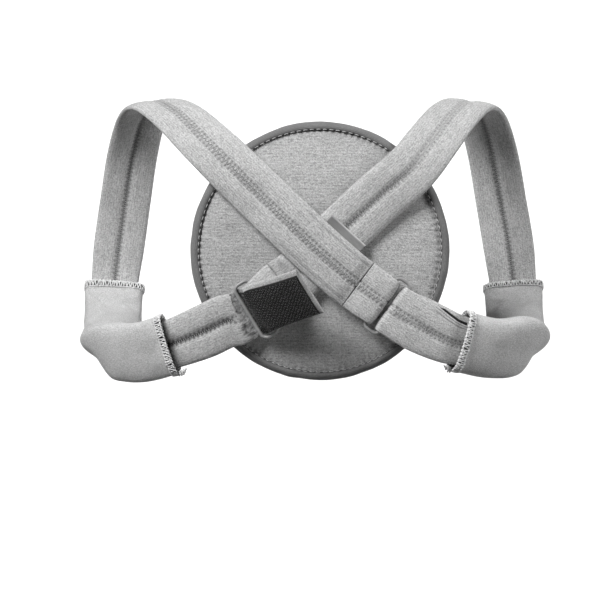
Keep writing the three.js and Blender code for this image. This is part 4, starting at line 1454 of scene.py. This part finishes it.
class BRACE_OT_hook_patches(bpy.types.Operator):
    """Make the hook tape on the straps' ends; the one that shows gets its hooks"""
    bl_idname = "brace.hook_patches"
    bl_label = "Hook patches"

    def execute(self, context):
        scene = context.scene
        sizes, colours = scene.brace_hooks, scene.brace_colours
        ground = hook_ground("hook_ground", colours.hook)
        for hand, strap in both_straps(scene).items():
            way, rows, columns = strap.way, 44, 30
            part = np.linspace(-0.5, 0.5, columns)
            if hand == "left":
                along = np.linspace(strap.end[0] - 6.6 * MM, strap.end[1] - 2.2 * MM, rows)
                across = np.broadcast_to(part * sizes.width + 1.4 * MM, (rows, columns))
                self.add_ground(strap, hand, along[:, None], across, sizes, ground)
                self.add_hooks(strap, along, across, sizes, colours)
            else:
                along = np.linspace(strap.end[0] + 0.3 * MM, strap.end[1] - 3 * MM, rows)
                narrowed = way.at(along, way.width)[:, None] / scene.brace_straps.width
                peek = 3.6 * MM * fade(0, 0.3, np.linspace(0, 1, rows))[:, None]
                across = part * sizes.width * narrowed + peek
                self.add_ground(strap, hand, along[:, None], across, sizes, ground)
        return {"FINISHED"}

    @staticmethod
    def add_ground(strap, hand, along, across, sizes, finish):
        """A closed woven sheet with a rounded edge, just over the strap's outer face."""
        along, across = np.broadcast_arrays(along, across)
        rows, columns = along.shape
        low = strap.spot(along, across, 1, 0.25 * MM)
        edge = np.ones((rows, columns))
        edge[0], edge[-1], edge[:, 0], edge[:, -1] = 0.4, 0.4, 0.4, 0.4
        high = strap.spot(along, across, 1, 0.25 * MM + sizes.thickness * edge)
        points = np.concatenate([low, high[:, ::-1]], axis=1)
        places = np.stack([along, across, np.zeros_like(along)], axis=-1)
        places = np.concatenate([places, places[:, ::-1]], axis=1)
        piece = add_piece(f"hook_patch_{hand}_ground", points.reshape(-1, 3), sheet_faces(rows, columns),
                          finish, cloth=places.reshape(-1, 3))
        ready(piece, "hook_tape", f"hook_patch_{hand}")

    @staticmethod
    def add_hooks(strap, along, across, sizes, colours):
        """Staggered rows of hooks inside the bare border of the patch, every other hook turned round."""
        first_border, last_border, side_border = 2.4 * MM, 1.2 * MM, 1.4 * MM
        start, end = along[0] + first_border, along[-1] - last_border
        low, high = across.min() + side_border, across.max() - side_border
        rows = np.arange(start, end, sizes.pitch)
        columns = np.arange(low, high, sizes.pitch)
        stagger = (np.arange(len(rows)) % 3)[:, None] * sizes.pitch / 3
        spots_along = np.broadcast_to(rows[:, None], (len(rows), len(columns))).ravel()
        spots_across = np.clip(columns[None, :] + stagger, low, high + sizes.pitch / 2).ravel()
        points = strap.spot(spots_along, spots_across, 1, 0.15 * MM + sizes.thickness)
        out = strap.way.at(spots_along, strap.way.out)
        ahead = strap.way.at(spots_along, strap.way.ahead)
        flip = np.where(np.arange(len(spots_along)) % 2 == 0, 1, -1)[:, None]
        finish = hook_wire("hook_wire", colours.hook)
        piece = add_piece("hook_patch_left_hooks", points, (), finish, out=out, ahead=ahead * flip)
        grow(piece, hook_tree(), Height=sizes.height, Wire=sizes.wire, Unevenness=0.18, Finish=finish)
        ready(piece, "hook_tape")


class BRACE_OT_label(bpy.types.Operator):
    """Make the bare folded label that is caught under the crossing"""
    bl_idname = "brace.label"
    bl_label = "Label"

    def execute(self, context):
        sizes = context.scene.brace_label
        rows, columns = 60, 27
        along = np.linspace(-0.5, 0.5, rows)[:, None] * sizes.length
        across = np.linspace(-0.5, 0.5, columns)[None, :] * sizes.width
        fold = np.sqrt(np.clip(1 - np.clip((across / (sizes.width / 2) - 0.9) / 0.1, 0, 1) ** 2, 0.05, 1))
        past = np.clip((np.abs(along) / (sizes.length / 2) - 0.97) / 0.03, 0, 1)
        half = sizes.thickness / 2 * fold * np.sqrt(np.clip(1 - past ** 2, 0.1, 1))
        place = np.stack(np.broadcast_arrays(along, across, 0.0), axis=-1)
        wave = 0.25 * MM * ripple(place, (12 * MM, 9 * MM, 1), 12)
        selvedge = 0.35 * MM * ridge(across - sizes.width * 0.43, 0.45 * MM)
        x, z = np.broadcast_arrays(along, across)
        low = np.stack([x, wave + half, z], axis=-1)
        high = np.stack([x, wave - half - selvedge, z], axis=-1)
        points = np.concatenate([low, high[:, ::-1]], axis=1)
        faces = [face[::-1] for face in sheet_faces(rows, columns)]
        # Painted shade towards both ends, strongest at the upper left end
        end_shade = 1 - 0.45 * fade(-0.1, 0.5, -along / sizes.length)
        end_shade = end_shade - 0.2 * fade(0.46, 0.5, along / sizes.length)
        # A painted highlight along the fold's edge; the rest of the label is toned down
        edge_highlight = ridge(across - sizes.width * 0.45, 0.7 * MM)
        tone = end_shade * (0.34 + 0.66 * edge_highlight)
        finish = woven_label("label_weave", context.scene.brace_colours.label)
        piece = add_piece("label_weave", points.reshape(-1, 3), faces, finish,
                          cloth=np.concatenate([place, place[:, ::-1]], axis=1).reshape(-1, 3),
                          tone=np.concatenate([tone, tone[:, ::-1]], axis=1).ravel())
        turned = Matrix.Rotation(math.radians(LABEL_PLACE["turn"]), 4, "Y")
        where = Vector((LABEL_PLACE["x"], LABEL_PLACE["y"], LABEL_PLACE["z"])) * MM
        piece.data.transform(Matrix.Translation(where) @ turned)
        ready(piece, "label_tape", "label_tab")
        return {"FINISHED"}


class BRACE_PT_panel(bpy.types.Panel):
    """The brace's steps and sizes"""
    bl_idname = "BRACE_PT_panel"
    bl_label = "Clavicle brace"
    bl_space_type = "VIEW_3D"
    bl_region_type = "UI"
    bl_category = "Brace"

    def draw(self, context):
        for operator in STEPS:
            self.layout.operator(operator.bl_idname)
        for name in GROUPS:
            group = getattr(context.scene, name)
            box = self.layout.box()
            for key in group.bl_rna.properties.keys():
                if key not in ("rna_type", "name"):
                    box.prop(group, key)


STEPS = (BRACE_OT_stage, BRACE_OT_back_pad, BRACE_OT_pad_binding, BRACE_OT_straps, BRACE_OT_sleeves,
         BRACE_OT_rings, BRACE_OT_hook_patches, BRACE_OT_label)
GROUPS = {"brace_pad": PadSizes, "brace_straps": StrapSizes, "brace_sleeves": SleeveSizes,
          "brace_rings": RingSizes, "brace_hooks": HookSizes, "brace_label": LabelSizes,
          "brace_colours": BraceColours}


def register():
    for group in GROUPS.values():
        bpy.utils.register_class(group)
    for name, group in GROUPS.items():
        setattr(bpy.types.Scene, name, PointerProperty(type=group))
    for step in STEPS:
        bpy.utils.register_class(step)
    bpy.utils.register_class(BRACE_PT_panel)


def unregister():
    bpy.utils.unregister_class(BRACE_PT_panel)
    for step in reversed(STEPS):
        bpy.utils.unregister_class(step)
    for name in reversed(GROUPS):
        delattr(bpy.types.Scene, name)
    for group in reversed(GROUPS.values()):
        bpy.utils.unregister_class(group)


def main():
    register()
    bpy.ops.brace.stage()
    bpy.ops.brace.back_pad()
    bpy.ops.brace.pad_binding()
    bpy.ops.brace.straps()
    bpy.ops.brace.sleeves()
    bpy.ops.brace.rings()
    bpy.ops.brace.hook_patches()
    bpy.ops.brace.label()


if __name__ == "__main__":
    main()
